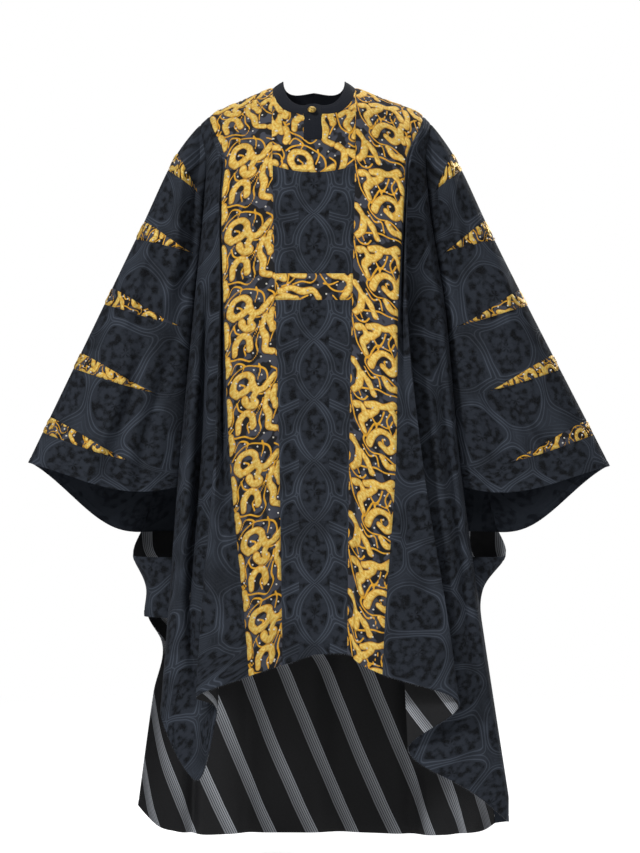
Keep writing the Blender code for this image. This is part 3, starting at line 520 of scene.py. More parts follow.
# The woven figure: rounded cells parted by straps of fine lines, with a blotched rosette in each cell.
# Chain 0 gives the free network, chain 1 the mirrored chain of pointed ovals on the centre panels.
def figureGroup():
    group, given, out = newGroup("wovenFigure", {"Cell": 0.125, "Chain": 0.0}, ("Lines", "Strap", "Blotch"))
    place, size, chain, soft = given["Place"], given["Cell"], given["Chain"], chainLook["soft"]
    bent = vectors("MULTIPLY_ADD", noise(place, 7.0, 1.0, output=1), (0.060, 0.060, 0.0), place)
    scaled = vectors("DIVIDE", bent, size)
    nearest, second = (cells(scaled, 1.0, feature, 0.66) for feature in ("F1", "F2"))
    freeEdge = times(minus(second["Distance"], nearest["Distance"]), size, 0.62)
    freeEdge = maths("SMOOTH_MIN", freeEdge, times(minus(0.62, nearest["Distance"]), size), soft)
    # the chain: ovals whose sides cross on the centre line, and scalloped cells beside them
    across, down = axes(place)
    side = maths("ABSOLUTE", across)
    turn = times(down, np.pi / chainLook["oval"])
    swing = maths("POWER", maths("ABSOLUTE", maths("SINE", turn)), 0.8)
    oval = maths("ABSOLUTE", minus(side, times(swing, chainLook["halfOval"])))
    lean = times(maths("MAXIMUM", minus(side, 0.02), 0.0), 0.45)
    fromBar = maths("PINGPONG", plus(minus(down, lean), chainLook["bar"]), chainLook["bar"])
    bar = plus(minus(chainLook["bar"], fromBar), maths("LESS_THAN", side, 0.031))
    wave = plus(times(maths("COSINE", times(turn, 2.0)), 0.006), chainLook["scallop"])
    scallop = maths("ABSOLUTE", minus(side, wave))
    chainEdge = maths("SMOOTH_MIN", maths("SMOOTH_MIN", oval, bar, soft), scallop, soft)
    half = chainLook["oval"] / 2
    chainMiddle = addNode(group, "ShaderNodeCombineXYZ", {
        0: times(side, 0.55 / 0.07), 1: times(minus(maths("PINGPONG", down, half), half), 8.0)}).outputs[0]
    distance = addNode(group, "ShaderNodeMix", {0: chain, 2: freeEdge, 3: chainEdge}).outputs[0]
    lines, inside = strapLines(distance, 0.0105)
    join(lines, out["Lines"])
    join(inside, out["Strap"])
    fromMiddle = vectors("SUBTRACT", scaled, nearest["Position"])
    middle = addNode(group, "ShaderNodeMix", {0: chain, 4: fromMiddle, 5: chainMiddle}, data_type="VECTOR").outputs[1]
    x, y = axes(middle)
    petals = times(maths("COSINE", times(maths("ARCTAN2", y, x), 6.0)),
                   maths("SINE", times(vectors("LENGTH", middle), 30.0)))
    leaf = cells(place, 70.0, "SMOOTH_F1")["Distance"]
    blotch = plus(times(petals, 0.16), times(noise(place, 62.0, 3.0, 0.6), 1.5), times(leaf, -0.55))
    join(times(between(blotch, 0.25, 0.75), plus(times(minus(1.0, inside), 0.8), 0.2)), out["Blotch"])
    return group


weave, figure = weaveGroup(), figureGroup()


# Gives the material, its place on the cloth (or in the object's own space) and the shader's sockets.
def newMaterial(name, roughness, metallic=0.0, onCloth=True, **sockets):
    material = bpy.data.materials.new(name)
    material.use_nodes = True
    tree = material.node_tree
    inputs = tree.nodes["Principled BSDF"].inputs
    for key, value in {"Roughness": roughness, "Metallic": metallic, **sockets}.items():
        inputs[key.replace("_", " ")].default_value = value
    if onCloth:
        return material, addNode(tree, "ShaderNodeUVMap", uv_map="cloth").outputs[0], inputs
    return material, addNode(tree, "ShaderNodeTexCoord").outputs["Object"], inputs


def addBump(inputs, height, strength, distance):
    feeds = {"Height": height, "Strength": strength, "Distance": distance}
    join(nodeFor((height,), "ShaderNodeBump", feeds)[0], inputs["Normal"])


jacquardLook = {"deep": colour(9, 11, 14), "light": colour(46, 51, 60), "strap": colour(56, 62, 72),
                "line": colour(86, 94, 108), "slub": colour(58, 64, 74), "sheen": colour(120, 128, 145),
                "cell": 0.112, "weavePitch": 0.0011}


def jacquardMaterial(name, chain):
    look = jacquardLook
    material, place, inputs = newMaterial(name, 0.86, Sheen_Weight=0.05, Sheen_Roughness=0.5,
                                          Sheen_Tint=look["sheen"], Specular_IOR_Level=0.22)
    drawn = useGroup(figure, Place=place, Cell=look["cell"], Chain=chain)
    threads = useGroup(weave, Place=place, Pitch=look["weavePitch"])
    strong = between(noise(place, 11.0, 2.0), 0.32, 0.62, 0.35, 1.0)
    base = mixColour(drawn["Blotch"], look["deep"], look["light"])
    base = mixColour(times(drawn["Strap"], 0.80, strong), base, look["strap"])
    base = mixColour(times(drawn["Lines"], 0.70, strong), base, look["line"])
    join(mixColour(between(threads["Slub"], 0.8, 1.35, 0.0, 0.28), base, look["slub"]), inputs["Base Color"])
    addBump(inputs, plus(times(threads["Height"], 0.35), drawn["Lines"], times(drawn["Blotch"], 0.5)), 0.5, 0.0005)
    join(between(drawn["Lines"], 0.0, 1.0, 0.90, 0.68), inputs["Roughness"])
    return material


# Wrong-side colours, raised well above the cloth's own as painted fill light for the robe's shaded inside.
insideLookWithPaintedFill = {"ground": colour(36, 40, 48), "light": colour(72, 79, 90), "weavePitch": 0.0014}


# The wrong side of the jacquard: floats of dark thread with a faint trace of the figure. Its colours are painted fill
# light, lighter than the cloth's own, so the shaded inside looks lit.
def insideMaterial():
    material, place, inputs = newMaterial("wrongSide", 0.92, Specular_IOR_Level=0.15)
    drawn = useGroup(figure, Place=place, Cell=jacquardLook["cell"], Chain=0.0)
    threads = useGroup(weave, Place=place, Pitch=insideLookWithPaintedFill["weavePitch"])
    faint = times(plus(drawn["Blotch"], drawn["Strap"]), 0.35)
    join(mixColour(faint, insideLookWithPaintedFill["ground"], insideLookWithPaintedFill["light"]), inputs["Base Color"])
    addBump(inputs, threads["Slub"], 0.4, 0.0004)
    return material


liningLook = {"ground": colour(13, 13, 16), "slub": colour(80, 84, 92), "stripe": colour(176, 180, 187),
              "repeat": 0.076, "band": 0.024, "fine": 0.0042, "slope": {"back": 33, "front": -14}}


# Black satin with bands of fine pale stripes, each band a cluster of lines that fades to one side.
def liningMaterial(name, slope):
    look = liningLook
    material, place, inputs = newMaterial(name, 0.55, Specular_IOR_Level=0.35, Sheen_Weight=0.05)
    turned = nodeFor((place,), "ShaderNodeMapping", {"Vector": place, "Rotation": (0, 0, np.radians(slope))})[0]
    within = maths("WRAP", axes(turned)[0], look["repeat"], 0.0)
    line = between(maths("PINGPONG", within, look["fine"] / 2), 0.0003, 0.0010)
    fading = between(within, 0.0, look["band"], 0.55, 1.0)
    mask = times(maths("LESS_THAN", within, look["band"]), line, fading)
    threads = useGroup(weave, Place=place, Pitch=0.0008)
    base = mixColour(between(threads["Slub"], 0.7, 1.3, 0.0, 0.06), look["ground"], look["slub"])
    join(mixColour(mask, base, look["stripe"]), inputs["Base Color"])
    addBump(inputs, threads["Height"], 0.25, 0.0002)
    return material


trimLook = {"ground": colour(15, 17, 24), "light": colour(30, 34, 44)}


def trimMaterial():
    material, place, inputs = newMaterial("plainTrim", 0.82, Specular_IOR_Level=0.2, Sheen_Weight=0.04)
    threads = useGroup(weave, Place=place, Pitch=0.0009)
    share = times(plus(threads["Slub"], noise(place, 60.0, 3.0)), 0.4)
    join(mixColour(share, trimLook["ground"], trimLook["light"]), inputs["Base Color"])
    addBump(inputs, threads["Height"], 0.4, 0.0003)
    return material


goldLook = {"gold": colour(240, 189, 76), "bright": colour(254, 224, 128), "amber": colour(196, 126, 18),
            "thin": colour(242, 182, 54), "ground": colour(22, 22, 26), "patch": colour(68, 71, 82),
            "shadow": colour(14, 13, 14), "rim": 0.0016}


# The raised work is in the mesh; its attributes "worm" and "thin" are distances from the edge of each kind
# of stroke, less than nothing inside it.
def goldMaterial():
    look = goldLook
    material, place, inputs = newMaterial("goldBrocade", 0.6, Specular_IOR_Level=0.4)
    worm, thin = (addNode(place.id_data, "ShaderNodeAttribute", attribute_name=kind).outputs["Fac"]
                  for kind in ("worm", "thin"))
    cloud, wide = noise(place, 170.0, 3.0, 0.65), noise(place, 42.0, 1.0)
    threads = useGroup(weave, Place=place, Pitch=0.0012)
    ground = mixColour(between(wide, 0.47, 0.53), look["ground"], look["patch"])
    ground = mixColour(between(worm, 0.0003, 0.0022, 0.75, 0.0), ground, look["shadow"])
    gold = mixColour(between(cloud, 0.42, 0.58), look["gold"], look["bright"])
    rim = between(worm, -look["rim"] - 0.0008, -look["rim"] + 0.0008)
    gold = mixColour(times(rim, 0.72), gold, look["amber"])
    strand = mixColour(between(cloud, 0.25, 0.5), look["amber"], look["thin"])
    inWorm, inThin = (between(kind, -0.0004, 0.0004, 1.0, 0.0) for kind in (worm, thin))
    join(mixColour(inWorm, mixColour(inThin, ground, strand), gold), inputs["Base Color"])
    stitched = maths("MAXIMUM", inWorm, inThin)
    across, down = axes(place)
    satin = maths("SINE", plus(times(plus(across, times(down, 0.6)), 4800.0), times(wide, 60.0)))
    raised = plus(times(satin, stitched, 0.5), times(threads["Height"], 0.2), times(cloud, 1.2))
    addBump(inputs, raised, 0.6, 0.0005)
    join(times(stitched, 0.42), inputs["Metallic"])
    join(plus(times(stitched, -0.32), 0.84), inputs["Roughness"])
    return material


def beadMaterial():
    material, place, inputs = newMaterial("paleBead", 0.25, 0.0, False, Specular_IOR_Level=0.6, Coat_Weight=0.3)
    join(mixColour(noise(place, 90.0, 1.0), colour(214, 208, 196), colour(252, 248, 240)), inputs["Base Color"])
    return material


def buttonMaterial():
    material, place, inputs = newMaterial("giltButton", 0.34, 0.9, False)
    pit = cells(place, 900.0, dimensions="3D")["Distance"]
    join(mixColour(between(pit, 0.2, 0.7), colour(243, 222, 140), colour(176, 132, 52)), inputs["Base Color"])
    addBump(inputs, pit, 0.6, 0.0004)
    return material


def fringeMaterial():
    material, place, inputs = newMaterial("fringeThread", 0.9, 0.0, False)
    share = between(noise(place, 400.0, 2.0), 0.3, 0.7)
    join(mixColour(share, colour(44, 48, 58), colour(120, 124, 134)), inputs["Base Color"])
    return material


finishes = {
    "jacquard": jacquardMaterial("jacquard", 0.0), "chain": jacquardMaterial("jacquardChain", 1.0),
    "wrongSide": insideMaterial(), "gold": goldMaterial(), "trim": trimMaterial(), "bead": beadMaterial(),
    "lining": liningMaterial("stripedLining", liningLook["slope"]["back"]), "button": buttonMaterial(),
    "liningFront": liningMaterial("stripedLiningFront", liningLook["slope"]["front"]),
    "fringe": fringeMaterial(),
}
print("materials made")


# A finished mesh as a piece of the robe.
def addPiece(name, mesh, slot, *materials):
    for material in materials:
        mesh.materials.append(finishes[material])
    piece = bpy.data.objects.new(name, mesh)
    bpy.context.scene.collection.objects.link(piece)
    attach(piece, "root")
    return piece


# Welds what lies together, applies what is set on the piece, and keeps only edges over the angle sharp.
def settle(piece, sharpAngle):
    bpy.context.view_layer.update()
    raw = piece.data
    done = bpy.data.meshes.new_from_object(piece.evaluated_get(bpy.context.evaluated_depsgraph_get()))
    piece.modifiers.clear()
    piece.data = done
    bpy.data.meshes.remove(raw)
    done.name = piece.name
    done.shade_smooth()
    done.set_sharp_from_angle(angle=np.radians(sharpAngle))


# The index of each face's four corners in a grid of points numbered row by row.
def gridQuads(index):
    return np.stack((index[:-1, :-1], index[1:, :-1], index[1:, 1:], index[:-1, 1:]), -1).reshape(-1, 4)


panels, beadsOn = {}, {}
slots = {"jacquard": "jacquard", "chain": "jacquard", "gold": "gold_brocade", "trim": "plain_trim",
         "lining": "lining", "liningFront": "lining"}


# Joins blocks into one mesh, welds what they share, and gives the cloth its thickness; gold gets its beads.
def sew(node, name, blocks, look):
    corners, quads, start = [], [], 0
    for part in blocks:
        rows, columns = part["points"].shape[:2]
        quad = gridQuads(start + np.arange(rows * columns).reshape(rows, columns))
        quads.append(quad[:, ::-1] if part["flip"] else quad)
        corners.append(part["points"].reshape(-1, 3))
        start += rows * columns
    mesh = bpy.data.meshes.new(name)
    mesh.from_pydata(np.vstack(corners), [], np.vstack(quads).tolist())
    place = np.vstack([part["place"].reshape(-1, 2) for part in blocks])
    ends = np.empty(len(mesh.loops), int)
    mesh.loops.foreach_get("vertex_index", ends)
    mesh.uv_layers.new(name="cloth").data.foreach_set("uv", place[ends].ravel())
    for key in blocks[0]["reads"]:
        values = np.concatenate([part["reads"][key].ravel() for part in blocks])
        mesh.attributes.new(key, "FLOAT", "POINT").data.foreach_set("value", values)
    twoSided = look in ("jacquard", "chain", "gold")
    piece = addPiece(name, mesh, slots[look], look, *(("wrongSide",) if twoSided else ()))
    piece.modifiers.new("weld", "WELD").merge_threshold = 2e-5
    wall = piece.modifiers.new("wall", "SOLIDIFY")
    wall.thickness = liningCloth if slots[look] == "lining" else cloth
    wall.offset = 0.0
    wall.material_offset = 1 if twoSided else 0
    settle(piece, 55)
    panels[node] = piece
    if look == "gold":
        beadsOn[node] = [beadPiece("beads" + name[4:], blocks)]


# ---- the gold design: strokes charted in millimetres on a repeat that wraps both ways
goldDesign = {
    "repeat": (210, 156), "wormHalf": 6.6, "thinHalf": 1.55, "wormRise": 0.0016, "thinRise": 0.0008,
    "fadeWidth": 0.004, "edgeRise": 0.15,
    "worms": (
        (24, 46, 15, 30, 24, 12, 44, 12, 55, 28, 47, 42, 31, 45), (53, 34, 62, 52, 78, 57, 100, 42),
        (60, 80, 56, 64, 68, 56), (86, 72, 79, 94, 86, 116, 84, 138, 99, 150), (101, 66, 96, 84, 101, 104),
        (22, 118, 25, 98, 38, 88, 51, 98, 53, 120), (3, 46, 7, 68, 3, 90), (38, 60, 44, 74, 60, 82),
        (5, 120, 9, 136, 4, 150), (110, 0, 123, 16, 122, 42, 112, 58), (130, 16, 142, 26, 152, 42),
        (138, 72, 156, 62, 174, 58, 194, 44), (160, 63, 153, 78, 143, 88), (184, 54, 196, 64, 203, 78),
        (145, 144, 153, 124, 168, 109, 188, 110, 195, 126, 184, 140, 169, 135),
        (116, 86, 128, 80, 136, 94, 128, 110, 135, 126), (204, 92, 200, 110, 205, 130), (172, 2, 184, 14, 200, 10)),
    "thins": (
        (0, 104, 12, 124, 34, 132, 54, 146, 68, 136, 66, 116, 72, 98),
        (6, 12, 20, 0, 42, -5, 64, 6, 82, 22, 86, 42, 76, 50), (62, 60, 78, 68, 98, 58, 106, 36, 94, 22),
        (22, 60, 28, 78, 52, 90, 78, 84), (28, 56, 14, 72, 13, 92, 2, 108),
        (44, 130, 42, 112, 56, 104, 70, 90, 76, 76), (92, 58, 90, 80, 106, 96, 94, 128), (30, 26, 40, 34, 36, 40),
        (70, 4, 72, 18, 66, 34), (12, 152, 24, 138, 40, 148, 36, 160),
        (106, 72, 110, 92, 118, 118, 138, 134, 148, 114, 158, 98, 182, 96, 192, 78),
        (126, 62, 122, 50, 138, 40, 158, 30, 178, 30, 202, 24, 208, 42, 198, 56),
        (138, 128, 134, 146, 150, 158, 176, 154, 200, 162), (150, 90, 160, 104, 154, 116),
        (174, 68, 168, 88, 158, 104), (186, 66, 180, 84, 190, 104), (106, 58, 118, 70, 132, 66, 140, 54),
        (132, 0, 146, 12, 160, 6, 166, 24), (194, 106, 208, 116, 222, 106), (178, 122, 172, 124, 174, 130),
        (204, 6, 212, 22, 206, 38)),
    "beads": (
        (12, 12), (30, 28), (60, 10), (74, 30), (92, 10), (10, 60), (30, 72), (50, 60), (72, 88), (90, 60),
        (30, 106), (44, 118), (12, 136), (34, 148), (58, 132), (74, 110), (74, 148), (94, 134), (60, 74), (86, 86),
        (104, 20), (104, 52), (104, 84), (104, 118), (134, 8), (136, 46), (160, 22), (186, 30), (158, 44), (128, 66),
        (148, 96), (168, 78), (180, 74), (176, 122), (160, 146), (190, 150), (126, 132), (120, 96), (150, 70),
        (202, 56), (206, 100), (190, 90), (140, 112), (170, 96), (24, 88), (46, 34), (66, 44), (84, 128), (118, 34),
        (116, 150), (154, 8), (178, 4), (206, 8), (196, 130), (22, 20), (52, 92), (80, 70), (8, 100)),
}


# Points along a smooth path through charted points, a fraction of a millimetre apart.
def strokePath(numbers):
    chart = np.array(numbers, float).reshape(-1, 2)
    knots = np.arange(len(chart))
    at = np.linspace(0, knots[-1], 26 * knots[-1] + 1)
    return np.stack((curveAt(at, knots, chart[:, 0]), curveAt(at, knots, chart[:, 1])), axis=-1)


# How far each point of the repeat lies from the nearest of some strokes, less the strokes' half width.
# Distances wrap round the repeat's edges.
def strokeField(paths, half, swell):
    wide, tall = goldDesign["repeat"]
    x, y = np.meshgrid(np.arange(wide) + 0.5, np.arange(tall) + 0.5)
    field = np.full(x.shape, 99.0)
    for number, path in enumerate(paths):
        thick = half * (1 + swell * np.sin(np.linspace(0, 9, len(path)) + number))
        apartX = (x[..., None] - path[:, 0] + wide / 2) % wide - wide / 2
        apartY = (y[..., None] - path[:, 1] + tall / 2) % tall - tall / 2
        field = np.minimum(field, (np.hypot(apartX, apartY) - thick).min(axis=-1))
    return field


goldFields = {"worm": strokeField(map(strokePath, goldDesign["worms"]), goldDesign["wormHalf"], 0.13),
              "thin": strokeField(map(strokePath, goldDesign["thins"]), goldDesign["thinHalf"], 0.10),
              "bead": strokeField([strokePath((x, y, x + 0.1, y)) for x, y in goldDesign["beads"]], 0.0, 0.0)}
print("gold design drawn")


# Reads a field at places given in metres of cloth: the mean of the four nearest points by their nearness.
def readField(field, place):
    tall, wide = field.shape
    x, y = place[..., 0] * 1000 - 0.5, place[..., 1] * 1000 - 0.5
    left, top = np.floor(x).astype(int), np.floor(y).astype(int)
    shareX, shareY = x - left, y - top
    total = np.zeros(x.shape)
    for stepX, weightX in ((0, 1 - shareX), (1, shareX)):
        for stepY, weightY in ((0, 1 - shareY), (1, shareY)):
            total += field[(top + stepY) % tall, (left + stepX) % wide] * weightX * weightY
    return total


# Gold cloth: the strokes are raised as low domes on the grid, and their distances kept for the material.
# Straight reads the design by distance across and fall; turned and grow set its direction and fineness.
def goldBlock(points, flip, sides, origin, turned=False, straight=False, grow=1.0):
    made = block(points, flip, sides, origin)
    if straight:
        steps = np.diff(points[..., 1:], axis=0, prepend=points[:1, :, 1:])
        fall = np.cumsum(np.linalg.norm(steps, axis=-1), axis=0)
        made["place"] = np.stack((points[..., 0] + origin[0], fall - fall[-1:] + origin[1]), axis=-1)
    place = (made["place"][..., ::-1] if turned else made["place"]) * grow
    worm, thin = readField(goldFields["worm"], place), readField(goldFields["thin"], place)
    half = goldDesign["wormHalf"]
    dome = np.sqrt(np.clip(1 - (1 + np.clip(worm, -half, 0) / half) ** 2, 0, 1))
    strand = np.clip(-thin / goldDesign["thinHalf"], 0, 1) ** 0.5
    across, down = clothRun(points, 1), clothRun(points, 0)
    fade = np.ones(points.shape[:2])
    for distance in (across, across[:, -1:] - across, down, down[-1:] - down):
        fade *= np.clip(distance / goldDesign["fadeWidth"], goldDesign["edgeRise"], 1)
    rise = np.maximum(dome * goldDesign["wormRise"], strand * goldDesign["thinRise"]) * fade
    normals = gridNormals(made["points"], flip)
    made["points"] = made["points"] + normals * rise[..., None]
    made["reads"] = {"worm": worm / 1000, "thin": thin / 1000}
    made["bead"] = (readField(goldFields["bead"], place), normals, fade)
    return made


beadShape = {"radius": 0.0023, "sides": 7, "rings": (0.0, 35.0, 68.0), "near": 1.7, "foot": -0.35}


# A bead is seated wherever the bead field is at its least: a unit dome of rings, closed by a point below and
# above, is copied to each seat and turned outwards.
def beadPiece(name, blocks):
    seats, leans = [], []
    for part in blocks:
        field, normals, fade = part["bead"]
        low = field[1:-1, 1:-1]
        least = np.minimum.reduce([field[1 + i:field.shape[0] - 1 + i, 1 + j:field.shape[1] - 1 + j]
                                   for i in (-1, 0, 1) for j in (-1, 0, 1)])
        chosen = (low <= least) & (low < beadShape["near"]) & (fade[1:-1, 1:-1] > 0.9)
        seats.append(part["points"][1:-1, 1:-1][chosen])
        leans.append(normals[1:-1, 1:-1][chosen])
    seats, leans = np.vstack(seats), np.vstack(leans)
    count = beadShape["sides"]
    turns = np.arange(count) * 2 * np.pi / count
    climbs = np.radians(beadShape["rings"])[:, None]
    rings = np.stack(np.broadcast_arrays(np.cos(climbs) * np.cos(turns), np.cos(climbs) * np.sin(turns),
                                         np.sin(climbs)), -1)
    dome = np.vstack(((0, 0, beadShape["foot"]), rings.reshape(-1, 3), (0, 0, 1)))
    sideways = np.cross(leans, (0.0, 0.0, 1.0))
    sideways /= np.linalg.norm(sideways, axis=1, keepdims=True)
    frames = np.stack((sideways, np.cross(leans, sideways), leans), axis=1)
    points = seats[:, None] + beadShape["radius"] * np.einsum("pk,bkx->bpx", dome, frames)
    index = 1 + np.arange(len(climbs) * count).reshape(len(climbs), count)
    after = np.roll(index, -1, axis=1)
    bottom = np.stack((0 * index[0], after[0], index[0]), -1)
    top = np.stack((index[-1], after[-1], 0 * index[0] + len(dome) - 1), -1)
    walls = np.stack((index[:-1], after[:-1], after[1:], index[1:]), -1).reshape(-1, 4)
    starts = np.arange(len(seats))[:, None, None] * len(dome)
    faces = [corners for kind in (bottom, walls, top)
             for corners in (starts + kind).reshape(-1, kind.shape[1]).tolist()]
    mesh = bpy.data.meshes.new(name)
    mesh.from_pydata(points.reshape(-1, 3), [], faces)
    mesh.shade_smooth()
    return addPiece(name, mesh, "gold_brocade", "bead")


# ---- body panels
bodyCut = {"plainStep": 0.0075, "goldStep": 0.0023, "centreStep": 0.0065, "backStep": 0.010, "yokeStep": 0.0034}
hemmed, seamed, plain = ("seam", "seam", "seam", "hem"), ("seam",) * 4, ("plain",) * 4


# Points of a panel between two places across and two rows; run is the cloth's length below the last level.
def panelGrid(face, fromPlace, toPlace, firstRow, endRow, run, step, ends, width=None):
    rows = fineRows(firstRow, endRow, run, step, ends[2:])
    places = fromPlace + (toPlace - fromPlace) * fineShares(width or abs(toPlace - fromPlace), step, ends[:2])
    return bodyPoints(face, places[None, :], rows[:, None])


def outward(side, low, high):
    return (-high, -low) if side == "left" else (low, high)


def frontPanels():
    for side, sign in sideSigns.items():
        points = panelGrid("front", *outward(side, yokePlace, bandPlace), 0, lastRow, 0.10, bodyCut["goldStep"], hemmed)
        origin = (0.0, 0.012) if side == "left" else (0.105, 0.0)
        sew(f"band_{side}", f"goldBand{side.title()}", [goldBlock(points, False, hemmed, origin)], "gold")
        points = panelGrid("front", *outward(side, bandPlace, turnPlace), 0, lastRow, 0.34, bodyCut["plainStep"],
                           hemmed, 0.34)
        sew(f"gore_front_{side}", f"goreFront{side.title()}",
            [block(points, False, hemmed, (0.3 + 0.2 * sign, 0.04))], "jacquard")
    for node, name, top, foot, look, ends, down in (
            ("yoke_front", "goldYokeFront", 0, rowOf["yokeFoot"], "gold", seamed, 0),
            ("centre_upper", "centrePanelUpper", rowOf["yokeFoot"], rowOf["barTop"], "chain", seamed, 0.038),
            ("crossbar", "goldCrossbar", rowOf["barTop"], rowOf["barFoot"], "gold", seamed, 0),
            ("centre_lower", "centrePanelLower", rowOf["barFoot"], lastRow, "chain", hemmed, 0.043)):
        step = bodyCut["goldStep" if look == "gold" else "centreStep"]
        points = panelGrid("front", -yokePlace, yokePlace, top, foot, 0.07, step, ends)
        if look == "gold":
            made = goldBlock(points, False, ends, (0.062, 0.05), node == "crossbar", node == "yoke_front")
        else:
            made = block(points, False, ends, (0.0, down))
            made["place"][..., 0] -= clothRun(points, 1)[:, -1:] / 2
        sew(node, name, [made], look)


def backPanels():
    points = panelGrid("back", -bandPlace, bandPlace, 0, rowOf["yokeFoot"], 0.45, bodyCut["yokeStep"], seamed)
    sew("yoke_back", "goldYokeBack", [goldBlock(points, True, seamed, (0.0, 0.03))], "gold")
    points = panelGrid("back", -bandPlace, bandPlace, rowOf["yokeFoot"], lastRow, 0.46, bodyCut["backStep"], hemmed)
    sew("back_centre", "backCentre", [block(points, True, hemmed)], "jacquard")
    for side, sign in sideSigns.items():
        points = panelGrid("back", *outward(side, bandPlace, turnPlace), 0, lastRow, 0.44, bodyCut["backStep"], hemmed)
        sew(f"gore_back_{side}", f"goreBack{side.title()}",
            [block(points, True, hemmed, (0.6 + 0.3 * sign, 0.02))], "jacquard")


# The linings are the same sheets, moved inwards by half of both cloths and a gap.
def liningPanels():
    inward = (cloth + liningCloth) / 2 + seamGap
    for node, name, face, places, top, run, step in (
            ("lining_back", "liningBack", "back", (-turnPlace, turnPlace), "backSleeveFoot", 0.45, 0.010),
            ("lining_front_left", "liningFrontLeft", "front", (-turnPlace, -bandPlace), "liningTop", 0.34, 0.008),
            ("lining_front_right", "liningFrontRight", "front", (bandPlace, turnPlace), "liningTop", 0.34, 0.008)):
        flip = face == "back"
        points = panelGrid(face, *places, rowOf[top], lastRow, run, step, plain, 1.1 * (places[1] - places[0]))
        points = points - gridNormals(points, flip) * inward
        sew(node, name, [block(points, flip, plain)], "lining" if flip else "liningFront")


# ---- sleeves and their wedges: where each meets the overarm, how far in its tip lies, and the row it aims at
wedgeCut = {
    "left": ((0.283, 0.303, 0.93, archRow + 1), (0.352, 0.370, 0.93, archRow + 3), (0.418, 0.435, 0.93, archRow + 6),
             (0.483, 0.499, 0.74, archRow + 7), (0.547, 0.563, 0.63, archRow + 8)),
    "right": ((0.287, 0.307, 0.80, archRow + 1), (0.355, 0.375, 0.91, archRow + 3), (0.426, 0.443, 0.91, archRow + 6),
              (0.495, 0.511, 0.66, archRow + 7), (0.565, 0.581, 0.66, archRow + 8)),
}
sleeveCut = {"step": 0.008, "backStep": 0.010, "close": 2.6, "grow": 1.45,
             "bend": np.array((0.0008, 0.003, 0.007, 0.012, 0.03, 0.05, 0.99, 0.996))}


# Length along the overarm line at each distance out.
def overarmRun(side, out):
    line = shoulderLines[side]
    at = np.linspace(0.2, sleeveCorners[side], 200)
    run = np.concatenate(((0,), np.cumsum(np.hypot(np.diff(at), np.diff(curveAt(at, line[:, 0], line[:, 1]))))))
    return np.interp(out, at, run)


# A strip of sleeve between two lines, each a distance out that changes with the part of the way in.
def sleeveStrip(side, fromLine, toLine, fromRow, toRow, shares, parts):
    share, part = np.meshgrid(shares, parts, indexing="ij")
    out = fromLine(part) + (toLine(part) - fromLine(part)) * share
    inner = turnLine("front", side, fromRow + (toRow - fromRow) * share)
    return sleevePoints("front", side, out, inner, part), out


# An edge that starts on the overarm and closes in on a line by a power of the part of the way to the tip:
# a wedge stays nearly as wide as at its start, then comes to its point. Past the tip it stays on that line.
def closingLine(start, end, tip=1.0):
    return lambda part: start + (end - start) * np.minimum(part / tip, 1.0) ** sleeveCut["close"]


def sleeves():
    for side in sideSigns:
        flip = side == "right"
        wedges = wedgeCut[side]
        # the sleeve's own edge starts on the shoulder line, just beyond the body's
        reach = float(abs(turnLine("front", side, np.zeros(1))[0, 0]) + sleeve["start"])
        edges = [(closingLine(reach, reach), 0)]
        for start, end, tip, row in wedges:
            edges += [(closingLine(edge, (start + end) / 2, tip), row) for edge in (start, end)]
        edges.append((closingLine(sleeveCorners[side], sleeveCorners[side]), rowOf["sleeveFoot"]))
        parts = np.concatenate((np.linspace(0, 1, 52), sleeveCut["bend"], [wedge[2] for wedge in wedges]))
        parts = np.unique(np.round(parts, 5))
        blocks = []
        for (fromLine, fromRow), (toLine, toRow) in zip(edges[::2], edges[1::2]):
            foot = "hem" if toRow == rowOf["sleeveFoot"] else "plain"
            span = float(overarmRun(side, toLine(0.0)) - overarmRun(side, fromLine(0.0)))
            shares = fineShares(span, sleeveCut["step"], ("seam", "hem" if foot == "hem" else "seam"))
            points, out = sleeveStrip(side, fromLine, toLine, fromRow, toRow, shares, parts)
            strip = block(points, flip, ("plain", "seam", "plain", foot))
            strip["place"] = np.stack((clothRun(points, 1) + 0.1, overarmRun(side, out)), axis=-1)
            blocks.append(strip)
        sew(f"sleeve_front_{side}", f"sleeveFront{side.title()}", blocks, "jacquard")
        for number, wedge in enumerate(wedges, start=1):
            (fromLine, row), (toLine, row) = edges[2 * number - 1:2 * number + 1]
            parts = np.unique(np.concatenate((np.linspace(0, wedge[2], 80), sleeveCut["bend"][:3])))
            points, out = sleeveStrip(side, fromLine, toLine, row, row, np.linspace(0, 1, 20), parts)
            origin = (0.03 + 0.045 * number, float(overarmRun(side, out[0, 0])))
            sew(f"wedge_{side}_{number}", f"goldWedge{side.title()}{number}",
                [goldBlock(points, flip, ("plain", "plain", "seam", "seam"), origin, grow=sleeveCut["grow"])], "gold")
        rows = fineRows(0, rowOf["backSleeveFoot"], 0.4, sleeveCut["backStep"], ("plain", "hem"))
        parts = np.unique(np.concatenate((np.linspace(0, 1, 44), sleeveCut["bend"])))
        row, part = np.meshgrid(rows, parts, indexing="ij")
        out = np.interp(row, (0, wedges[0][3], rowOf["backSleeveFoot"]), (reach, wedges[0][0], sleeveCorners[side]))
        points = sleevePoints("back", side, out, turnLine("back", side, row), part)
        sew(f"sleeve_back_{side}", f"sleeveBack{side.title()}",
            [block(points, not flip, ("plain", "seam", "plain", "hem"))], "jacquard")


# ---- the short closed stretch below each sleeve's mouth, swelling a little between its two rails
wrapCut = {"bulge": 0.25, "step": 0.007, "end": {"left": rowOf["wrapFoot"], "right": lastRow}}


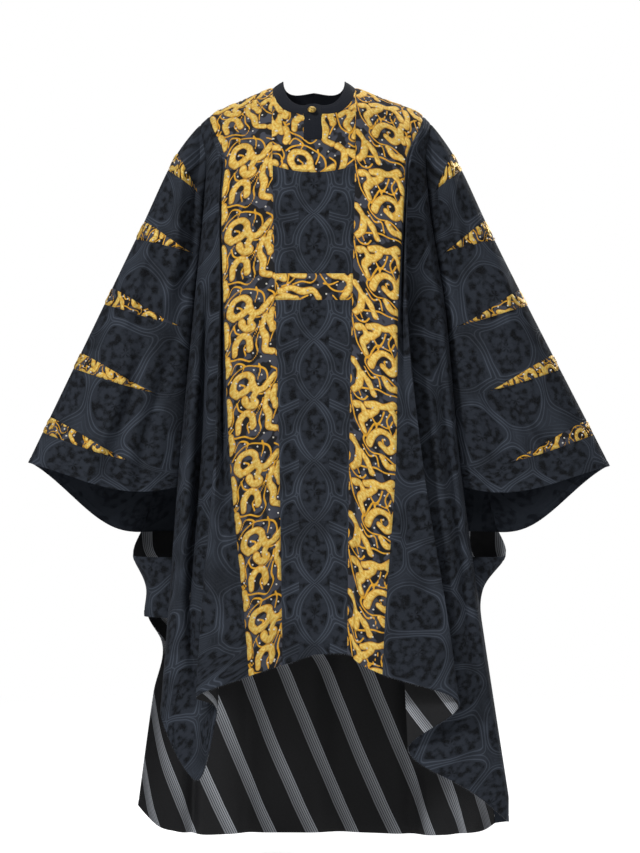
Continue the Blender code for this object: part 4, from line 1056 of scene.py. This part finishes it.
def wraps():
    for side, sign in sideSigns.items():
        rows = fineRows(rowOf["wrapTop"], wrapCut["end"][side], 0.43, wrapCut["step"], ("hem", "hem"))
        share = np.linspace(0, 1, 16)[None, :, None]
        front, back = (turnLine(face, side, rows)[:, None] for face in hangs)
        chord = back - front
        swell = sign * np.stack((chord[..., 1], -chord[..., 0], 0 * chord[..., 2]), axis=-1)
        points = front + chord * share + wrapCut["bulge"] * np.sin(np.pi * share) * swell
        sew(f"wrap_{side}", f"sideWrap{side.title()}",
            [block(points, side == "left", ("seam", "seam", "hem", "hem"))], "jacquard")


# ---- neckband, placket and button
neckShape = {"top": 0.064, "rise": {"front": 0.0195, "side": 0.015, "back": 0.022}, "inset": 0.015,
             "shares": np.array((1.0, 0.93, 0.84, 0.72, 0.6, 0.48, 0.36, 0.24, 0.14, 0.06, 0.0)),
             "placket": (-0.021, 0.017), "placketRow": 2, "placketStep": 0.003,
             "placketShares": np.array((1.0, 0.86, 0.6, 0.3)), "stitchIn": 0.0042, "stitchWidth": 0.0009,
             "stitchDepth": 0.0004, "swell": 0.0006, "press": 0.0009}


# Upper edge of the neckband above points of the neck seam.
def neckTop(seam):
    ahead = np.cos(np.arctan2(seam[..., 0], -seam[..., 1]))
    rise = neckShape["rise"]
    up = rise["side"] + np.where(ahead > 0, rise["front"] - rise["side"], rise["back"] - rise["side"]) * ahead ** 2
    x = seam[..., 0] * neckShape["top"] / yokePlace
    y = seam[..., 1] + neckShape["inset"] * np.sign(-seam[..., 1]) * np.abs(ahead)
    return np.stack((x, y, seam[..., 2] + up), axis=-1)


# Both rise from the neck seam by shares of the band's height: the band swells between a pressed upper edge
# and the seam, and the placket lies over it with a row of stitches along each side.
def neckline():
    turn = np.sin(np.linspace(-np.pi / 2, np.pi / 2, 90)) * yokePlace
    front, back = (bodyPoints(face, turn, np.zeros(len(turn))) for face in hangs)
    seam = np.vstack((front, back[-2::-1]))
    shares = neckShape["shares"]
    points = seam[None] + (neckTop(seam) - seam)[None] * shares[:, None, None]
    roll = neckShape["swell"] * (np.sin(np.pi * shares) - (np.abs(shares - 0.84) < 0.02))
    roll -= neckShape["press"] * (shares > 0.97)
    points = points + gridNormals(points, False) * roll[:, None, None]
    sew("neckband", "neckbandRing", [block(points, False, plain)], "trim")
    strip = panelGrid("front", *neckShape["placket"], 0, neckShape["placketRow"], 0.1, neckShape["placketStep"],
                      ("seam", "seam", "plain", "seam"))
    over = strip[:1] + (neckTop(strip[0]) - strip[0])[None] * neckShape["placketShares"][:, None, None]
    points = np.vstack((over, strip))
    across = clothRun(points, 1)
    away = np.stack((across, across[:, -1:] - across))
    stitches = np.exp(-((away - neckShape["stitchIn"]) / neckShape["stitchWidth"]) ** 2).sum(axis=0)
    lift = cloth + 2 * seamGap - neckShape["stitchDepth"] * stitches
    points = points + gridNormals(points, False) * lift[..., None]
    sew("placket", "placketStrip", [block(points, False, ("seam", "seam", "plain", "seam"))], "trim")


buttonShape = {
    "sides": 48, "axis": np.array((0.0, -0.78, 0.626)), "seat": 0.0030, "beaten": 0.00014,
    "profile": metres((2.2, 0), (2.2, 0.8), (7.8, 0.8), (8.5, 1.3), (8.6, 2.0), (8.2, 2.6), (7.4, 2.9), (7.0, 2.7),
                      (6.8, 3.1), (6.0, 4.2), (4.8, 5.1), (3.4, 5.6), (1.8, 5.9), (0, 6.0)),
}


# A turned button: the profile carried round an axis that leans forward and up, its dome lightly beaten.
def buttonPiece():
    axis = buttonShape["axis"]
    side = np.cross(axis, (0.0, 0.0, 1.0))
    side /= np.linalg.norm(side)
    turns = np.arange(buttonShape["sides"]) * 2 * np.pi / buttonShape["sides"]
    radius, rise = np.split(buttonShape["profile"], 2, axis=1)
    beaten = buttonShape["beaten"] * np.sin(9 * turns + radius * 3000) * np.sin(radius * 2600)
    rise = rise + np.where(rise > buttonShape["seat"], beaten, 0.0)
    seat = np.mean(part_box("button"), axis=0) - axis * buttonShape["seat"]
    points = (seat + (radius * np.cos(turns))[..., None] * side
              + (radius * np.sin(turns))[..., None] * np.cross(side, axis) + rise[..., None] * axis)
    index = np.arange(radius.size * turns.size).reshape(radius.size, turns.size)
    mesh = bpy.data.meshes.new("button")
    quads = gridQuads(np.hstack((index, index[:, :1])))
    mesh.from_pydata(points.reshape(-1, 3), [], quads.tolist() + [index[0].tolist()])
    panels["button"] = addPiece("giltButton", mesh, "brass", "button")
    panels["button"].modifiers.new("weld", "WELD").merge_threshold = 1e-5
    settle(panels["button"], 50)


# ---- frayed threads along the front hem: short thin ribbons that leave the hem's lowest row
fringe = {"spacing": 0.0016, "length": (0.0015, 0.0042), "half": 0.00022, "seed": 7, "from": -0.42, "to": 0.44,
          "steps": np.array((-0.2, 0.5, 1.0)), "widths": np.array((1.0, 0.8, 0.3))}


# Each thread is one strip of two faces: it starts at a point of the hem and falls along a leaning direction.
def hemFray():
    chance = np.random.default_rng(fringe["seed"])
    line = bodyPoints("front", np.linspace(fringe["from"], fringe["to"], 500), float(lastRow))
    run = np.concatenate(((0,), np.cumsum(np.linalg.norm(np.diff(line, axis=0), axis=1))))
    at = np.arange(0, run[-1], fringe["spacing"])
    at = np.clip(at + chance.uniform(-0.4, 0.4, len(at)) * fringe["spacing"], 0, run[-1])
    starts, ahead = (np.stack([np.interp(at + on, run, line[:, axis]) for axis in range(3)], -1) for on in (0, 0.002))
    ahead = ahead - starts
    ahead[-3:] = ahead[-4]
    ahead /= np.maximum(np.linalg.norm(ahead, axis=1, keepdims=True), 1e-9)
    count = len(starts)
    fall = np.array((0, 0, -1.0)) + ahead * chance.normal(0, 0.5, (count, 1))
    fall[:, 1] += chance.normal(0, 0.25, count)
    fall *= (chance.uniform(*fringe["length"], (count, 1)) / np.linalg.norm(fall, axis=1, keepdims=True))
    bend = ahead * chance.normal(0, 0.0006, (count, 1))
    steps = fringe["steps"][:, None]
    middle = starts[:, None] + fall[:, None] * steps + bend[:, None] * steps ** 2
    aside = ahead[:, None] * (fringe["half"] * fringe["widths"])[:, None]
    points = np.stack((middle - aside, middle + aside), axis=2)
    index = np.arange(count * 6).reshape(count, 3, 2)
    quads = np.stack((index[:, :-1, 0], index[:, 1:, 0], index[:, 1:, 1], index[:, :-1, 1]), -1).reshape(-1, 4)
    mesh = bpy.data.meshes.new("frontHemFray")
    mesh.from_pydata(points.reshape(-1, 3), [], quads.tolist())
    addPiece("frontHemFray", mesh, "jacquard", "fringe")


for maker in (frontPanels, backPanels, liningPanels, sleeves, wraps, neckline, buttonPiece, hemFray):
    maker()
    print(f"{maker.__name__} made")
for node, piece in panels.items():
    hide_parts(node)

# ---- floor, light and camera
stage = {"floor": -1.60, "half": 60.0, "nearEdge": 0.7, "farEdge": 3.2, "camera": (0.0125, -5.0, -0.69), "lens": 101.5,
         "ambient": 0.14, "floorGlow": 0.74, "bounce": 0.12, "aim": (0.0, 0.0, -0.7),
         "lamps": (("key", (-2.4, -3.2, 2.2), 135.0, 0.6), ("fill", (2.4, -3.6, 0.6), 34.0, 1.0),
                   ("top", (0.4, 1.4, 2.6), 40.0, 1.6), ("rear", (2.4, 3.4, 1.0), 70.0, 1.0))}


# A pale floor that fades to the white of the world away from the robe; both shine only on the camera.
def studio():
    scene = bpy.context.scene
    scene.view_settings.view_transform = "Standard"
    half = stage["half"]
    mesh = bpy.data.meshes.new("floor")
    mesh.from_pydata([(-half, -half, 0), (half, -half, 0), (half, half, 0), (-half, half, 0)], [], [(0, 1, 2, 3)])
    pale, place, inputs = newMaterial("paleFloor", 1.0, 0.0, False, Emission_Color=(1, 1, 1, 1),
                                      Specular_IOR_Level=0.0)
    away = vectors("LENGTH", place)
    seen = addNode(pale.node_tree, "ShaderNodeLightPath").outputs["Is Camera Ray"]
    glow = between(away, stage["nearEdge"], stage["farEdge"], stage["floorGlow"], 1.0)
    join(times(glow, plus(times(seen, 1 - stage["bounce"]), stage["bounce"])), inputs["Emission Strength"])
    join(mixColour(between(away, stage["nearEdge"], stage["farEdge"]), (0.8, 0.8, 0.8, 1), (0, 0, 0, 1)),
         inputs["Base Color"])
    mesh.materials.append(pale)
    floor = bpy.data.objects.new("floor", mesh)
    floor.location = (0, 0, stage["floor"])
    scene.collection.objects.link(floor)
    scene.world = bpy.data.worlds.new("studio")
    scene.world.use_nodes = True
    sky = scene.world.node_tree
    seen = addNode(sky, "ShaderNodeLightPath").outputs["Is Camera Ray"]
    inputs = sky.nodes["Background"].inputs
    join(addNode(sky, "ShaderNodeMix", {0: seen, 2: stage["ambient"], 3: 1.0}).outputs[0], inputs[1])
    inputs[0].default_value = (1.0, 1.0, 1.0, 1.0)
    for name, place, power, size in stage["lamps"]:
        light = bpy.data.lights.new(name, "AREA")
        light.energy, light.size = power, size
        lamp = bpy.data.objects.new(name, light)
        lamp.location = place
        lamp.rotation_euler = (Vector(stage["aim"]) - Vector(place)).to_track_quat("-Z", "Y").to_euler()
        scene.collection.objects.link(lamp)
    lens = bpy.data.cameras.new("camera")
    lens.lens = stage["lens"]
    camera = bpy.data.objects.new("camera", lens)
    camera.location = stage["camera"]
    camera.rotation_euler = (np.pi / 2, 0, 0)
    scene.collection.objects.link(camera)
    scene.camera = camera


studio()
print("studio set")
